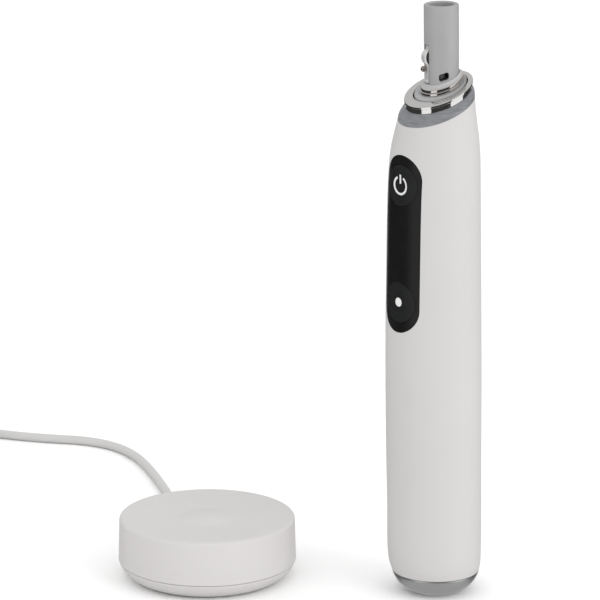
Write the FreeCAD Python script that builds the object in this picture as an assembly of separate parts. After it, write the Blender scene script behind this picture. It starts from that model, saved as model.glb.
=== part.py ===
import FreeCAD, Part
import math
import os

# Rechargeable toothbrush handle standing beside its round charging puck.
# Millimetres, +Z up, origin on the floor at the middle of the set's box
# (the cord, its coil and its plug are left out of that box).

os.makedirs("parts", exist_ok=True)
Vec = FreeCAD.Vector
UP = Vec(0, 0, 1)

# ---- the set -------------------------------------------------------------
SET_WIDTH = 118.5          # puck's left edge to the handle's right edge
SET_DEPTH = 59.7           # handle's front to the puck's back
HANDLE_TURN = -50.0        # the handle's front points this far to the left of -Y

# ---- handle body ------------------------------------------------------------
CAP_HEIGHT = 7.0
HOUSING_TOP = 161.0        # the slanted top, on the handle's own axis
BODY_RADIUS = 15.43        # at its widest
# Each section's last number is how far it sits forward.
FOOT_SECTIONS = [          # rise above the cap, how much narrower than BODY_RADIUS
    (0.0, 1.32, 0.0), (1.0, 1.01, 0.12), (3.0, 0.57, 0.38), (6.0, 0.31, 0.6), (15.0, 0.19, 0.78),
]
BARREL_SECTIONS = [        # share of the barrel's length, how much narrower
    (0.2, 0.09, 1.24), (0.4, 0.0, 1.62), (0.636, 0.1, 1.98), (0.855, 0.4, 2.17),
]
SHOULDER_SECTIONS = [      # drop below HOUSING_TOP, share of the way from the neck's radius to BODY_RADIUS
    (29.0, 0.865, 2.22), (20.0, 0.806, 2.1), (13.5, 0.705, 1.85), (8.5, 0.534, 1.5),
    (4.0, 0.353, 1.2), (-1.0, 0.214, 1.0), (-7.0, 0.0, 0.8),
]
WALL = 2.0
SEAM = 0.12                # shadow gap between covers that only meet
FIT = 0.06                 # side clearance of a piece set in a pocket

# ---- neck: everything here leans forward with the drive ---------------------
SLEEVE_RADIUS = 5.53
SLEEVE_DRAFT = 0.15        # how much smaller its foot is than the brush head's seat
SLEEVE_WALL = 1.53
SLEEVE_TOP = 26.0          # above NECK_HEIGHT, along the neck
SLEEVE_FOOT = 9.0          # below NECK_HEIGHT
NECK_LEAN = 1.2
NECK_BACK = 0.55           # neck axis behind the handle axis, at NECK_HEIGHT
NECK_RISE = 6.0            # NECK_HEIGHT above HOUSING_TOP
NECK_HEIGHT = HOUSING_TOP + NECK_RISE
SLEEVE_BORE = SLEEVE_RADIUS - SLEEVE_WALL
COLLAR_WALL = 1.09
COLLAR_LEDGE = 0.43
COLLAR_RADIUS = SLEEVE_RADIUS + COLLAR_WALL
COLLAR_STEP_RADIUS = COLLAR_RADIUS + COLLAR_LEDGE
COLLAR_STEP = 0.85
COLLAR_HEIGHT = 1.6
COLLAR_CONE = 3.1
PLATE_BAND = 1.5           # the plate's grey ring, outside the collar, with its gap
PLATE_GAP = 0.36
PLATE_THICKNESS = 1.3
PLATE_PROUD = 0.2
WINDOW_TURN = 56.0         # locking windows, from the neck's front, anticlockwise
WINDOW_WIDTH = 3.2
WINDOW_HEIGHT = 2.5
WINDOW_CORNER = 0.8
WINDOW_LEVEL = 5.2         # its middle above the plate, along the neck
LATCH_TURN = -11.0
LATCH_WIDTH = 2.1
LATCH_THICKNESS = 0.55
LATCH_PROUD = 0.2
LATCH_SLOT_GAP = 0.2
LATCH_FOOT = 1.5           # above NECK_HEIGHT
LATCH_ROLL = 0.5           # radius of its rolled foot
LATCH_TOP = 13.2
LATCH_TAIL = 0.45          # how far its upper end lies inside the sleeve's face
LATCH_BULGE = 1.3
LATCH_PIN_RADIUS = 0.85
LATCH_PIN_LEVEL = 6.0
LATCH_PIN_PROUD = 2.05
LATCH_BALL = 0.12          # how much larger than its pin the ball is

# ---- slanted top: planes given by their height on the handle's own axis -----
SLANT = 21.5
RING_BAND = 2.9
BEZEL_BAND = 1.6
BEZEL_LIP_HEIGHT = 1.0
BEZEL_WALL = 1.87
BEZEL_FORWARD = 0.8
LIP_PROUD = 0.43
LIP_ROUND = 0.4
RING_PROUD = 0.2           # ring's inner edge, outside the bezel's band
RING_SHOULDER = 0.82       # ring's lower edge, outside the housing's
RING_FORWARD = 1.15
SPIGOT_WALL = 0.6
SPIGOT_DEPTH = 5.0
SPIGOT_ROOM = 0.45         # round the spigot, inside the housing
TOP_BORE_FORWARD = 0.35
TOP_BORE_DEPTH = 24.0
RING_TOP = HOUSING_TOP + RING_BAND
BEZEL_LIP = RING_TOP + BEZEL_BAND
BEZEL_TOP = BEZEL_LIP + BEZEL_LIP_HEIGHT
PLATE_TOP = BEZEL_TOP + PLATE_PROUD
BEZEL_BORE = COLLAR_STEP_RADIUS + PLATE_BAND
BEZEL_RADIUS = BEZEL_BORE + BEZEL_WALL
LIP_RADIUS = BEZEL_RADIUS + LIP_PROUD
RING_TOP_RADIUS = BEZEL_RADIUS + RING_PROUD
# ---- drive ------------------------------------------------------------------
SHAFT_RADIUS = 2.4
SHAFT_TOP = 17.6
SHAFT_MAGNET_HEIGHT = 1.8
RUNNING_GAP = 0.05
MOTOR_RADIUS = 8.0
MOTOR_WALL = 0.8
MOTOR_LOW = -52.0
MOTOR_HIGH = -12.0
COIL_ROOM = 0.2            # round the bobbin, inside the case
ARMATURE_RADIUS = 4.5
ARMATURE_GAP = 0.4         # round the magnet, inside the bobbin
YOKE_LENGTH = 3.0
SHAFT_ROOM = 0.5           # round the shaft, in the case's two ends
ARMATURE_LENGTH = 18.0
SPRING_THICKNESS = 0.35
PIVOT_LEVEL = -21.0        # tilt pins, below NECK_HEIGHT
TILT_PIN_RADIUS = 1.0
TILT_PIN_ROOM = 0.6        # from the pins' ends to the housing
MOTOR_TOP_ROOM = 1.6       # round the motor's upper end, inside the housing
MOTOR_SIDE_ROOM = 0.8      # round the rest of the motor, inside the housing
TOP_BORE = max(BEZEL_BORE + SPIGOT_WALL + SPIGOT_ROOM, MOTOR_RADIUS + MOTOR_TOP_ROOM)
NECK_WALL = 1.15           # round the top bore, at the body's uppermost section
NECK_RADIUS = TOP_BORE + NECK_WALL
COIL_OUTER = MOTOR_RADIUS - MOTOR_WALL - COIL_ROOM
COIL_INNER = ARMATURE_RADIUS + ARMATURE_GAP

# ---- control panel -----------------------------------------------------------
BUTTON_RADIUS = 6.6
BUTTON_GAP = 0.14
BUTTON_FLANGE = 0.6        # its width and its thickness
BUTTON_FLANGE_ROOM = 0.35  # round the flange, in the housing
BUTTON_DISH = 0.35
BUTTON_DISH_RIM = 0.7
BUTTON_TRAVEL = 0.4
BUTTON_STEM_RADIUS = 1.5
PANEL_MARGIN = 1.25        # round the buttons
PANEL_DROP = 14.2          # its upper end, below HOUSING_TOP
PANEL_LENGTH = 57.2
PANEL_DEPTH = 1.0
POWER_INSET = 1.75         # beyond the round end's middle
MODE_INSET = 1.95
PANEL_HALF_WIDTH = BUTTON_RADIUS + PANEL_MARGIN
PANEL_HIGH = HOUSING_TOP - PANEL_DROP
PANEL_LOW = PANEL_HIGH - PANEL_LENGTH
POWER_LEVEL = PANEL_HIGH - PANEL_HALF_WIDTH - POWER_INSET
MODE_LEVEL = PANEL_LOW + PANEL_HALF_WIDTH + MODE_INSET

# ---- inside the handle ---------------------------------------------------------
CHASSIS_WALL = 1.4
MOTOR_ROOM = 0.49          # between the motor and the chassis
BOARD_THICKNESS = 1.0
BOARD_EDGE_ROOM = 0.3
BOARD_CORNER = 2.0
BOARD_LOW = 20.0
BOARD_DROP = 10.5          # its upper end, below HOUSING_TOP
BOARD_HIGH = HOUSING_TOP - BOARD_DROP
BOARD_FACE = NECK_BACK - MOTOR_RADIUS - MOTOR_ROOM - CHASSIS_WALL - FIT - BOARD_THICKNESS
SEAT = 0.01                # gap under a piece that stands on the board
SCREW_RADIUS = 0.8
SWITCH_HEIGHT = 1.5
PLUNGER_HEIGHT = 0.45
BATTERY_RADIUS = 7.1
BATTERY_LENGTH = 50.0
BATTERY_LOW = 17.2
BATTERY_BACK = 0.5
CRADLE_ROOM = 0.15

# ---- base of the handle ----------------------------------------------------------
FOOT_RADIUS = 7.1
RECESS_RADIUS = 6.1
RECESS_DEPTH = 1.3
CAP_WALL = 1.5
CAP_SPIGOT_WALL = 1.2
CAP_SPIGOT_RISE = 4.2
CAP_FLOOR_RIM = 5.25       # from the cap's edge to its deepest hollow
RECEIVER_HOLE = 4.6
RECEIVER_ROOM = 2.29       # round the receiving coil, inside the cap's spigot

# ---- charging puck -----------------------------------------------------------------
PUCK_RADIUS = 29.2
PUCK_DRAFT = 0.4
PUCK_HEIGHT = 20.3
PUCK_EDGE = 2.2
PUCK_WALL = 1.8
PUCK_SEAM = 5.8
DISH_DEPTH = 0.7
DOME_RADIUS = 8.8
DOME_HEIGHT = 1.1
BASE_FLARE = 5.7           # from the foot's edge to the wall
BASE_FLOOR = 2.0
BASE_RIM_WALL = 1.3
FOOT_RING_INSET = 0.9
FOOT_RING_WIDTH = 2.6
FOOT_RING_PROUD = 0.35
CHARGER_BOARD_INSET = 6.0
CHARGER_COIL = (9.6, 5.4, 5.4)     # outer radius, inner radius, height
CHARGER_MAGNET_RADIUS = 3.0
PUCK_TOP_RADIUS = PUCK_RADIUS - PUCK_DRAFT
BASE_FOOT_RADIUS = PUCK_RADIUS - BASE_FLARE
FOOT_RING_OUTER = BASE_FOOT_RADIUS - FOOT_RING_INSET
CORD_EXIT_TURN = 100.5     # degrees anticlockwise from +X
CORD_EXIT_HEIGHT = 3.3
CORD_HOLE_ROOM = 1.15      # round the cord, in the wall
RELIEF_REACH = 15.0        # strain relief, beyond the puck's wall

# ---- cord, as chosen point by point; x, y, z in the set's own frame -------------------
CORD_DIAMETER = 3.1
COIL_COLUMNS = 4
COIL_LAYERS = 2
COIL_MIDDLE_RADIUS = 18.0
COIL_LIFT = 0.5            # the tie lies under the coil
COIL_CENTRE = (-141.4, 138.05)
TIE_THICKNESS = 0.4
TIE_WIDTH = 6.0
TIE_ROOM = 0.45
TIE_TURN = 292.0
PLUG_LENGTH = 34.0
BOOT_LENGTH = 12.0
PLUG_WIDTH = 35.3
PLUG_THICKNESS = 13.7
PIN_RADIUS = 2.0
PIN_LENGTH = 19.0
PIN_ROOT = 12.0            # how far each pin runs into the plug
PIN_ROOT_RADIUS = 1.6
PIN_SPACING = 18.6

shapes = {}


# ---- small helpers ---------------------------------------------------------------------
def tube(outer, inner, low, high, x=0.0, y=0.0):
    """Upright ring, or a plain cylinder when inner is 0."""
    solid = Part.makeCylinder(outer, high - low, Vec(x, y, low))
    if inner > 0:
        solid = solid.cut(Part.makeCylinder(inner, high - low + 2, Vec(x, y, low - 1)))
    return solid


def box(x_low, x_high, y_low, y_high, z_low, z_high):
    return Part.makeBox(x_high - x_low, y_high - y_low, z_high - z_low, Vec(x_low, y_low, z_low))


def moved(shape, placement):
    copy = shape.copy()
    copy.Placement = placement.multiply(copy.Placement)
    return copy


def turned_about_z(shape, degrees):
    return moved(shape, FreeCAD.Placement(Vec(0, 0, 0), FreeCAD.Rotation(UP, degrees)))


def slanted_slab(low, high, reach=60.0):
    """Space between two slanted planes, which rise towards the back (+Y)."""
    rise = reach * math.tan(math.radians(SLANT))
    outline = Part.makePolygon([Vec(-reach, -reach, low - rise), Vec(-reach, reach, low + rise),
                                Vec(-reach, reach, high + rise), Vec(-reach, -reach, high - rise),
                                Vec(-reach, -reach, low - rise)])
    return Part.Face(outline).extrude(Vec(2 * reach, 0, 0))


def slanted_circle(radius, forward, height):
    """Outline that looks round from above, drawn on a slanted plane."""
    slope = math.tan(math.radians(SLANT))
    centre = Vec(0, -forward, height - forward * slope)
    ellipse = Part.Ellipse(centre + Vec(0, radius, radius * slope), centre + Vec(radius, 0, 0), centre)
    return Part.Wire([ellipse.toShape()])


def slanted_cone(low_radius, low_forward, low, high_radius, high_forward, high):
    """Cone between two slanted planes, each end round from above."""
    ends = [slanted_circle(low_radius, low_forward, low), slanted_circle(high_radius, high_forward, high)]
    return Part.makeLoft(ends, True, True)


def body_sections():
    """The body's sections from the cap up, each as height, radius and forward offset."""
    foot = [(CAP_HEIGHT + rise, BODY_RADIUS - less, forward) for rise, less, forward in FOOT_SECTIONS]
    wide = BODY_RADIUS - NECK_RADIUS
    shoulder = [(HOUSING_TOP - drop, NECK_RADIUS + share * wide, forward)
                for drop, share, forward in SHOULDER_SECTIONS]
    start = foot[-1][0]
    length = shoulder[0][0] - start
    barrel = [(start + share * length, BODY_RADIUS - less, forward)
              for share, less, forward in BARREL_SECTIONS]
    return foot + barrel + shoulder


SECTIONS = body_sections()


def body_loft(inset=0.0):
    """The handle's outer form, shrunk all round by inset."""
    rings = []
    for height, radius, forward in SECTIONS:
        circle = Part.Circle(Vec(0, -forward, height), UP, radius - inset)
        rings.append(Part.Wire([circle.toShape()]))
    return Part.makeLoft(rings, True, False)


def body_at(height):
    """The body's radius and forward offset at a height, between its sections."""
    for lower, upper in zip(SECTIONS, SECTIONS[1:]):
        if lower[0] <= height <= upper[0]:
            share = (height - lower[0]) / (upper[0] - lower[0])
            return tuple(low + share * (high - low) for low, high in zip(lower[1:], upper[1:]))
    raise ValueError("height is outside the handle's body")


def body_front(height):
    """Y of the handle's front line at a height."""
    return -sum(body_at(height))


def hollow_half_width(height, back):
    """Half the width of the space inside the housing at a height, in the plane y = back."""
    radius, forward = body_at(height)
    return math.sqrt((radius - WALL) ** 2 - (back + forward) ** 2)


def stadium(grow=0.0):
    """The panel's outline as a long block that runs in from the front."""
    half = PANEL_HALF_WIDTH + grow
    low = PANEL_LOW + PANEL_HALF_WIDTH
    high = PANEL_HIGH - PANEL_HALF_WIDTH
    block = box(-half, half, -30, -4, low, high)
    for level in (low, high):
        block = block.fuse(Part.makeCylinder(half, 26, Vec(0, -30, level), Vec(0, 1, 0)))
    return block.removeSplitter()


def across(radius, y_low, y_high, level):
    """Cylinder that runs front to back at a height."""
    return Part.makeCylinder(radius, y_high - y_low, Vec(0, y_low, level), Vec(0, 1, 0))


neck_place = FreeCAD.Placement(Vec(0, NECK_BACK, NECK_HEIGHT), FreeCAD.Rotation(Vec(1, 0, 0), NECK_LEAN))


def in_neck(shape):
    return moved(shape, neck_place)


# ---- handle: covers ----------------------------------------------------------------------
outer_form = body_loft()
below_top = slanted_slab(-200.0, HOUSING_TOP)
panel_floor = body_loft(PANEL_DEPTH)


def make_housing():
    shell = outer_form.common(below_top).cut(body_loft(WALL))
    shell = shell.cut(tube(TOP_BORE, 0, HOUSING_TOP - TOP_BORE_DEPTH, HOUSING_TOP + 12, 0, -TOP_BORE_FORWARD))
    shell = shell.cut(in_neck(tube(MOTOR_RADIUS + MOTOR_SIDE_ROOM, 0, MOTOR_LOW - 1, MOTOR_HIGH)))
    shell = shell.cut(stadium(FIT).cut(panel_floor))
    for level in (POWER_LEVEL, MODE_LEVEL):
        shell = shell.cut(across(BUTTON_RADIUS + BUTTON_FLANGE + BUTTON_FLANGE_ROOM, -30, -4, level))
    return shell


def make_panel():
    inlay = stadium().common(body_loft(0.03)).cut(body_loft(PANEL_DEPTH - FIT))
    for level in (POWER_LEVEL, MODE_LEVEL):
        inlay = inlay.cut(across(BUTTON_RADIUS + BUTTON_GAP, -30, -4, level))
    return inlay


def make_button(level):
    """Dished disc, a flange that keeps it behind the panel, and a stem to its switch."""
    under_flange = body_loft(PANEL_DEPTH + BUTTON_FLANGE)
    disc = across(BUTTON_RADIUS, -30, -4, level).common(body_loft(0.05)).cut(under_flange)
    flange = across(BUTTON_RADIUS + BUTTON_FLANGE, -30, -4, level)
    flange = flange.common(body_loft(PANEL_DEPTH + 0.08)).cut(under_flange)
    stem_end = BOARD_FACE - SWITCH_HEIGHT - PLUNGER_HEIGHT - BUTTON_TRAVEL - RUNNING_GAP
    stem = across(BUTTON_STEM_RADIUS, body_front(level) + PANEL_DEPTH + BUTTON_FLANGE / 2, stem_end, level)
    button = disc.fuse(flange).fuse(stem)
    dish_radius = (BUTTON_RADIUS - BUTTON_DISH_RIM) ** 2 / (2 * BUTTON_DISH)
    dish = Part.makeSphere(dish_radius, Vec(0, body_front(level) - dish_radius + BUTTON_DISH, level))
    return button.cut(dish)


def make_light_ring():
    """Translucent ring: flush with the housing below, coned in to the bezel above."""
    band = outer_form.common(slanted_slab(HOUSING_TOP, RING_TOP))
    low_radius = body_at(HOUSING_TOP)[0] + RING_SHOULDER
    cone = slanted_cone(low_radius, RING_FORWARD, HOUSING_TOP, RING_TOP_RADIUS, BEZEL_FORWARD, RING_TOP)
    bore = BEZEL_BORE + SPIGOT_WALL + FIT
    return band.common(cone).cut(tube(bore, 0, HOUSING_TOP - 20, RING_TOP + 20))


def make_bezel():
    """Chrome ring: a plain band, a rounded lip and a spigot down inside the light ring."""
    low = RING_TOP - 25
    high = RING_TOP + 25
    band = tube(BEZEL_RADIUS, 0, low, high, 0, -BEZEL_FORWARD).common(slanted_slab(RING_TOP, BEZEL_LIP))
    lip = tube(LIP_RADIUS, 0, low, high, 0, -BEZEL_FORWARD).common(slanted_slab(BEZEL_LIP, BEZEL_TOP))
    rims = [edge for edge in lip.Edges if edge.BoundBox.XLength > 1.9 * LIP_RADIUS]
    lip = lip.makeFillet(LIP_ROUND, rims)
    spigot = tube(BEZEL_BORE + SPIGOT_WALL, 0, low, high)
    spigot = spigot.common(slanted_slab(RING_TOP - SPIGOT_DEPTH, BEZEL_LIP))
    bezel = band.fuse(lip).fuse(spigot)
    return bezel.cut(tube(BEZEL_BORE, 0, low - 5, high + 5)).removeSplitter()


shapes["handle_housing"] = make_housing()
shapes["control_panel"] = make_panel()
shapes["power_button"] = make_button(POWER_LEVEL)
shapes["mode_button"] = make_button(MODE_LEVEL)
shapes["light_ring"] = make_light_ring()
shapes["top_bezel"] = make_bezel()


# ---- handle: base ---------------------------------------------------------------------------
def make_base_cap():
    """Rounded metallic cap with a dimple below and a spigot up into the housing."""
    seam_radius = SECTIONS[0][1]
    flank = Part.Arc(Vec(FOOT_RADIUS, 0, 0), Vec(seam_radius - 1.95, 0, CAP_HEIGHT * 0.42),
                     Vec(seam_radius, 0, CAP_HEIGHT - SEAM)).toShape()
    top = CAP_HEIGHT - SEAM
    edges = [Part.makeLine(Vec(0, 0, 0), Vec(FOOT_RADIUS, 0, 0)), flank,
             Part.makeLine(Vec(seam_radius, 0, top), Vec(0, 0, top)),
             Part.makeLine(Vec(0, 0, top), Vec(0, 0, 0))]
    cap = Part.Face(Part.Wire(edges)).revolve(Vec(0, 0, 0), UP, 360)
    cap = Part.Solid(cap) if cap.ShapeType != "Solid" else cap
    dimple_radius = (RECESS_RADIUS ** 2 + RECESS_DEPTH ** 2) / (2 * RECESS_DEPTH)
    cap = cap.cut(Part.makeSphere(dimple_radius, Vec(0, 0, RECESS_DEPTH - dimple_radius)))
    cap = cap.fuse(tube(spigot_radius(), 0, top - 1, CAP_HEIGHT + CAP_SPIGOT_RISE))
    floor = RECESS_DEPTH + CAP_WALL - 0.6
    hollow = tube(spigot_radius() - CAP_SPIGOT_WALL, 0, floor + 1.4, CAP_HEIGHT + 5)
    hollow = hollow.fuse(tube(seam_radius - CAP_FLOOR_RIM, 0, floor, floor + 2))
    cap = cap.cut(hollow)
    groove = tube(spigot_radius() + 1, spigot_radius() - 0.7, CAP_HEIGHT + 1.6, CAP_HEIGHT + 3.0)
    return cap.cut(groove).removeSplitter()


def spigot_radius():
    return SECTIONS[0][1] - WALL - FIT


shapes["base_cap"] = make_base_cap()
shapes["base_seal"] = Part.makeTorus(spigot_radius() - 0.18, 0.5, Vec(0, 0, CAP_HEIGHT + 2.3))
coil_low = RECESS_DEPTH + CAP_WALL + 0.9
receiver_radius = spigot_radius() - CAP_SPIGOT_WALL - RECEIVER_ROOM
shapes["receiver_coil"] = tube(receiver_radius, RECEIVER_HOLE, coil_low, coil_low + 3.0)
shapes["receiver_ferrite"] = tube(receiver_radius, 0, coil_low + 3.05, coil_low + 4.3)
shapes["retention_disc"] = tube(RECEIVER_HOLE - 0.3, 0, coil_low - 0.6, coil_low + 0.4)


# ---- handle: inside --------------------------------------------------------------------------
spine_front = BOARD_FACE + BOARD_THICKNESS + FIT
pivot_height = NECK_HEIGHT + PIVOT_LEVEL
pivot_back = NECK_BACK - PIVOT_LEVEL * math.tan(math.radians(NECK_LEAN))
board_half = hollow_half_width(BOARD_HIGH, BOARD_FACE) - BOARD_EDGE_ROOM
pin_reach = hollow_half_width(pivot_height, pivot_back) - TILT_PIN_ROOM
screw_levels = (BOARD_LOW + 4.0, MODE_LEVEL - 11.0)


def make_chassis():
    """Spine behind the board, a cradle round the battery and a yoke for the tilt pins."""
    spine_back = spine_front + CHASSIS_WALL
    spine_half = board_half + 0.7
    spine = box(-spine_half, spine_half, spine_front, spine_back, BOARD_LOW - 3, BOARD_HIGH - 1)
    inner = BATTERY_RADIUS + CRADLE_ROOM
    outer = inner + CHASSIS_WALL
    low = BATTERY_LOW - 0.1
    high = BATTERY_LOW + BATTERY_LENGTH + 0.1
    cradle = tube(outer, 0, low - 1.6, high + 1.6, 0, BATTERY_BACK)
    cradle = cradle.common(box(-20, 20, -20, BATTERY_BACK + 2.5, low - 1.6, high + 1.6))
    web = box(-3, 3, spine_front, BATTERY_BACK - inner + 1, low - 1.6, high + 1.6)
    chassis = spine.fuse(cradle).fuse(web)
    chassis = chassis.cut(tube(inner, 0, low, high, 0, BATTERY_BACK))
    yoke_half = pin_reach - 0.1
    yoke = box(-yoke_half, yoke_half, spine_front, pivot_back + 2.6, pivot_height - 4, pivot_height + 3)
    around_motor = tube(MOTOR_RADIUS + MOTOR_ROOM - 0.05, 0, MOTOR_LOW, MOTOR_HIGH)
    chassis = chassis.fuse(yoke.cut(in_neck(around_motor)))
    bore_start = Vec(-20, pivot_back, pivot_height)
    chassis = chassis.cut(Part.makeCylinder(TILT_PIN_RADIUS + RUNNING_GAP, 40, bore_start, Vec(1, 0, 0)))
    for level in screw_levels:
        chassis = chassis.cut(across(SCREW_RADIUS, spine_front - 1, spine_back + 5, level))
    return chassis.common(body_loft(WALL + 0.2)).removeSplitter()


def make_board():
    back = BOARD_FACE + BOARD_THICKNESS
    board = box(-board_half, board_half, BOARD_FACE, back, BOARD_LOW, BOARD_HIGH)
    corners = [edge for edge in board.Edges if edge.BoundBox.YLength > 0.9 * BOARD_THICKNESS
               and edge.BoundBox.ZLength < 0.01 and edge.BoundBox.XLength < 0.01]
    board = board.makeFillet(BOARD_CORNER, corners)
    for level in screw_levels:
        board = board.cut(across(SCREW_RADIUS + 0.15, BOARD_FACE - 1, BOARD_FACE + 3, level))
    return board


def make_screws():
    """Two small screws that hold the board to the chassis."""
    screws = []
    for level in screw_levels:
        head = across(SCREW_RADIUS + 0.7, BOARD_FACE - 0.9, BOARD_FACE - SEAT, level)
        shank = across(SCREW_RADIUS - 0.02, BOARD_FACE - 0.1, spine_front + CHASSIS_WALL - 0.1, level)
        slot = box(-1.2, 1.2, BOARD_FACE - 1.0, BOARD_FACE - 0.5, level - 0.2, level + 0.2)
        screws.append(head.fuse(shank).cut(slot))
    return Part.makeCompound(screws)


def make_switches():
    """Two tactile switches on the board, one behind each button."""
    switches = []
    for level in (POWER_LEVEL, MODE_LEVEL):
        top = BOARD_FACE - SWITCH_HEIGHT
        body = box(-2.2, 2.2, top, BOARD_FACE - SEAT, level - 2.2, level + 2.2)
        plunger = across(1.1, top - PLUNGER_HEIGHT, top + 0.1, level)
        switches.append(body.fuse(plunger))
    return Part.makeCompound(switches)


def make_display():
    """Small dark display module that lies behind the panel between the buttons."""
    low = MODE_LEVEL + BUTTON_RADIUS + 5.9
    high = POWER_LEVEL - BUTTON_RADIUS - 5.9
    half = board_half - 2.8
    frame = box(-half, half, BOARD_FACE - 1.6, BOARD_FACE - SEAT, low, high)
    window = box(0.8 - half, half - 0.8, BOARD_FACE - 2.0, BOARD_FACE - 1.3, low + 0.8, high - 0.8)
    return frame.cut(window)


def make_chips():
    """Charge controller, motor driver, memory and microcontroller, evenly spaced between the screws."""
    sizes = ((2.5, 0.9), (3.5, 1.0), (2.0, 0.9), (3.0, 1.1))
    low, high = screw_levels
    chips = []
    for index, (half, rise) in enumerate(sizes):
        level = low + (high - low) * (index + 0.5) / len(sizes)
        chips.append(box(-half, half, BOARD_FACE - rise, BOARD_FACE - SEAT, level - half, level + half))
    return Part.makeCompound(chips)


def make_ring_lights():
    """Three small lamps at the board's upper end, which light the ring."""
    lamps = []
    low = BOARD_HIGH - 3
    for x in (3.0 - board_half, 0.0, board_half - 3.0):
        lamps.append(box(x - 0.8, x + 0.8, BOARD_FACE - 0.7, BOARD_FACE - SEAT, low, low + 1.6))
    return Part.makeCompound(lamps)


def make_battery():
    """Round lithium cell with a raised positive end."""
    top = BATTERY_LOW + BATTERY_LENGTH
    can = tube(BATTERY_RADIUS, 0, BATTERY_LOW + 0.3, top - 1.0, 0, BATTERY_BACK)
    rims = [edge for edge in can.Edges if edge.BoundBox.ZLength < 0.01]
    can = can.makeFillet(0.6, rims)
    return can.fuse(tube(2.6, 0, top - 1.2, top - 0.3, 0, BATTERY_BACK))


def make_tabs():
    """Welded nickel strips that join the cell's two ends to the board."""
    top = BATTERY_LOW + BATTERY_LENGTH
    tabs = []
    for low in (BATTERY_LOW + 0.02, top - 0.28):
        tabs.append(box(-2.0, 2.0, BATTERY_BACK - 3.0, BATTERY_BACK + 3.0, low, low + 0.25))
    return Part.makeCompound(tabs)


shapes["chassis"] = make_chassis()
shapes["main_board"] = make_board()
shapes["board_screws"] = make_screws()
shapes["tact_switches"] = make_switches()
shapes["display_module"] = make_display()
shapes["board_chips"] = make_chips()
shapes["ring_lights"] = make_ring_lights()
shapes["battery"] = make_battery()
shapes["battery_tabs"] = make_tabs()


# ---- neck, in its own leaning frame -------------------------------------------------------------
def make_plate():
    radius = BEZEL_BORE - PLATE_GAP
    disc = tube(radius, 0, PLATE_TOP - 25, PLATE_TOP + 25)
    disc = disc.common(slanted_slab(PLATE_TOP - PLATE_THICKNESS, PLATE_TOP))
    return disc.cut(in_neck(tube(SLEEVE_RADIUS + 0.02, 0, -30, 40)))


def make_collar():
    """Stepped chrome collar that follows the slant and cones in to the sleeve."""
    low = PLATE_TOP + 0.02
    back = (0, NECK_BACK)
    step = tube(COLLAR_STEP_RADIUS, 0, low - 25, low + 25, *back).common(slanted_slab(low, low + COLLAR_STEP))
    drum = tube(COLLAR_RADIUS, 0, low - 25, low + 25, *back).common(slanted_slab(low, low + COLLAR_HEIGHT))
    cone = slanted_cone(COLLAR_RADIUS, -NECK_BACK, low + COLLAR_HEIGHT,
                        SLEEVE_RADIUS + 0.1, -NECK_BACK, low + COLLAR_CONE)
    collar = step.fuse(drum).fuse(cone).cut(in_neck(tube(SLEEVE_RADIUS + 0.02, 0, -30, 40)))
    return collar.removeSplitter().cut(in_neck(latch_slot(LATCH_WIDTH + 2 * LATCH_SLOT_GAP)))


def latch_slot(width):
    """Upright slot through the sleeve's wall for the latch."""
    slot = box(-width / 2, width / 2, -SLEEVE_RADIUS - 4, -SLEEVE_BORE + 1, LATCH_FOOT - 0.3, LATCH_TOP + 0.4)
    return turned_about_z(slot, LATCH_TURN)


def window_cutter():
    """Sheared locking window, its sloping sides in line with the slanted collar."""
    turn = math.radians(WINDOW_TURN)
    shear = math.tan(math.radians(SLANT)) * math.sin(turn)
    half_w = WINDOW_WIDTH / 2
    half_h = WINDOW_HEIGHT / 2
    front = -SLEEVE_RADIUS * math.cos(turn)
    level = PLATE_TOP - NECK_HEIGHT + WINDOW_LEVEL + front * math.tan(math.radians(SLANT))
    corners = []
    for side, rise in ((-1, -1), (1, -1), (1, 1), (-1, 1), (-1, -1)):
        corners.append(Vec(side * half_w, -12, level + side * half_w * shear + rise * half_h))
    block = Part.Face(Part.makePolygon(corners)).extrude(Vec(0, 12, 0))
    long_edges = [edge for edge in block.Edges if edge.BoundBox.YLength > 11]
    block = block.makeFillet(WINDOW_CORNER, long_edges)
    return turned_about_z(block, WINDOW_TURN)


def make_sleeve():
    """Open grey tube: the brush head's seat above the latch, with a slight draft below it."""
    seat_low = LATCH_TOP + 1.0
    sleeve = tube(SLEEVE_RADIUS, 0, seat_low, SLEEVE_TOP)
    rim = [edge for edge in sleeve.Edges if edge.BoundBox.ZLength < 0.01 and edge.BoundBox.ZMin > 0]
    sleeve = sleeve.makeFillet(0.45, [edge for edge in rim if edge.BoundBox.ZMin > SLEEVE_TOP - 0.01])
    foot_radius = SLEEVE_RADIUS - SLEEVE_DRAFT
    lower = Part.makeCone(foot_radius, SLEEVE_RADIUS, seat_low + SLEEVE_FOOT, Vec(0, 0, -SLEEVE_FOOT))
    sleeve = sleeve.fuse(lower)
    sleeve = sleeve.cut(tube(SLEEVE_BORE, 0, -SLEEVE_FOOT - 1, SLEEVE_TOP + 1))
    mouth = [edge for edge in sleeve.Edges if edge.BoundBox.ZMin > SLEEVE_TOP - 0.01
             and edge.BoundBox.XLength < 2.1 * SLEEVE_BORE]
    sleeve = sleeve.makeChamfer(0.35, mouth)
    window = window_cutter()
    sleeve = sleeve.cut(window).cut(turned_about_z(window, 180))
    return sleeve.cut(latch_slot(LATCH_WIDTH + 2 * LATCH_SLOT_GAP))


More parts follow.
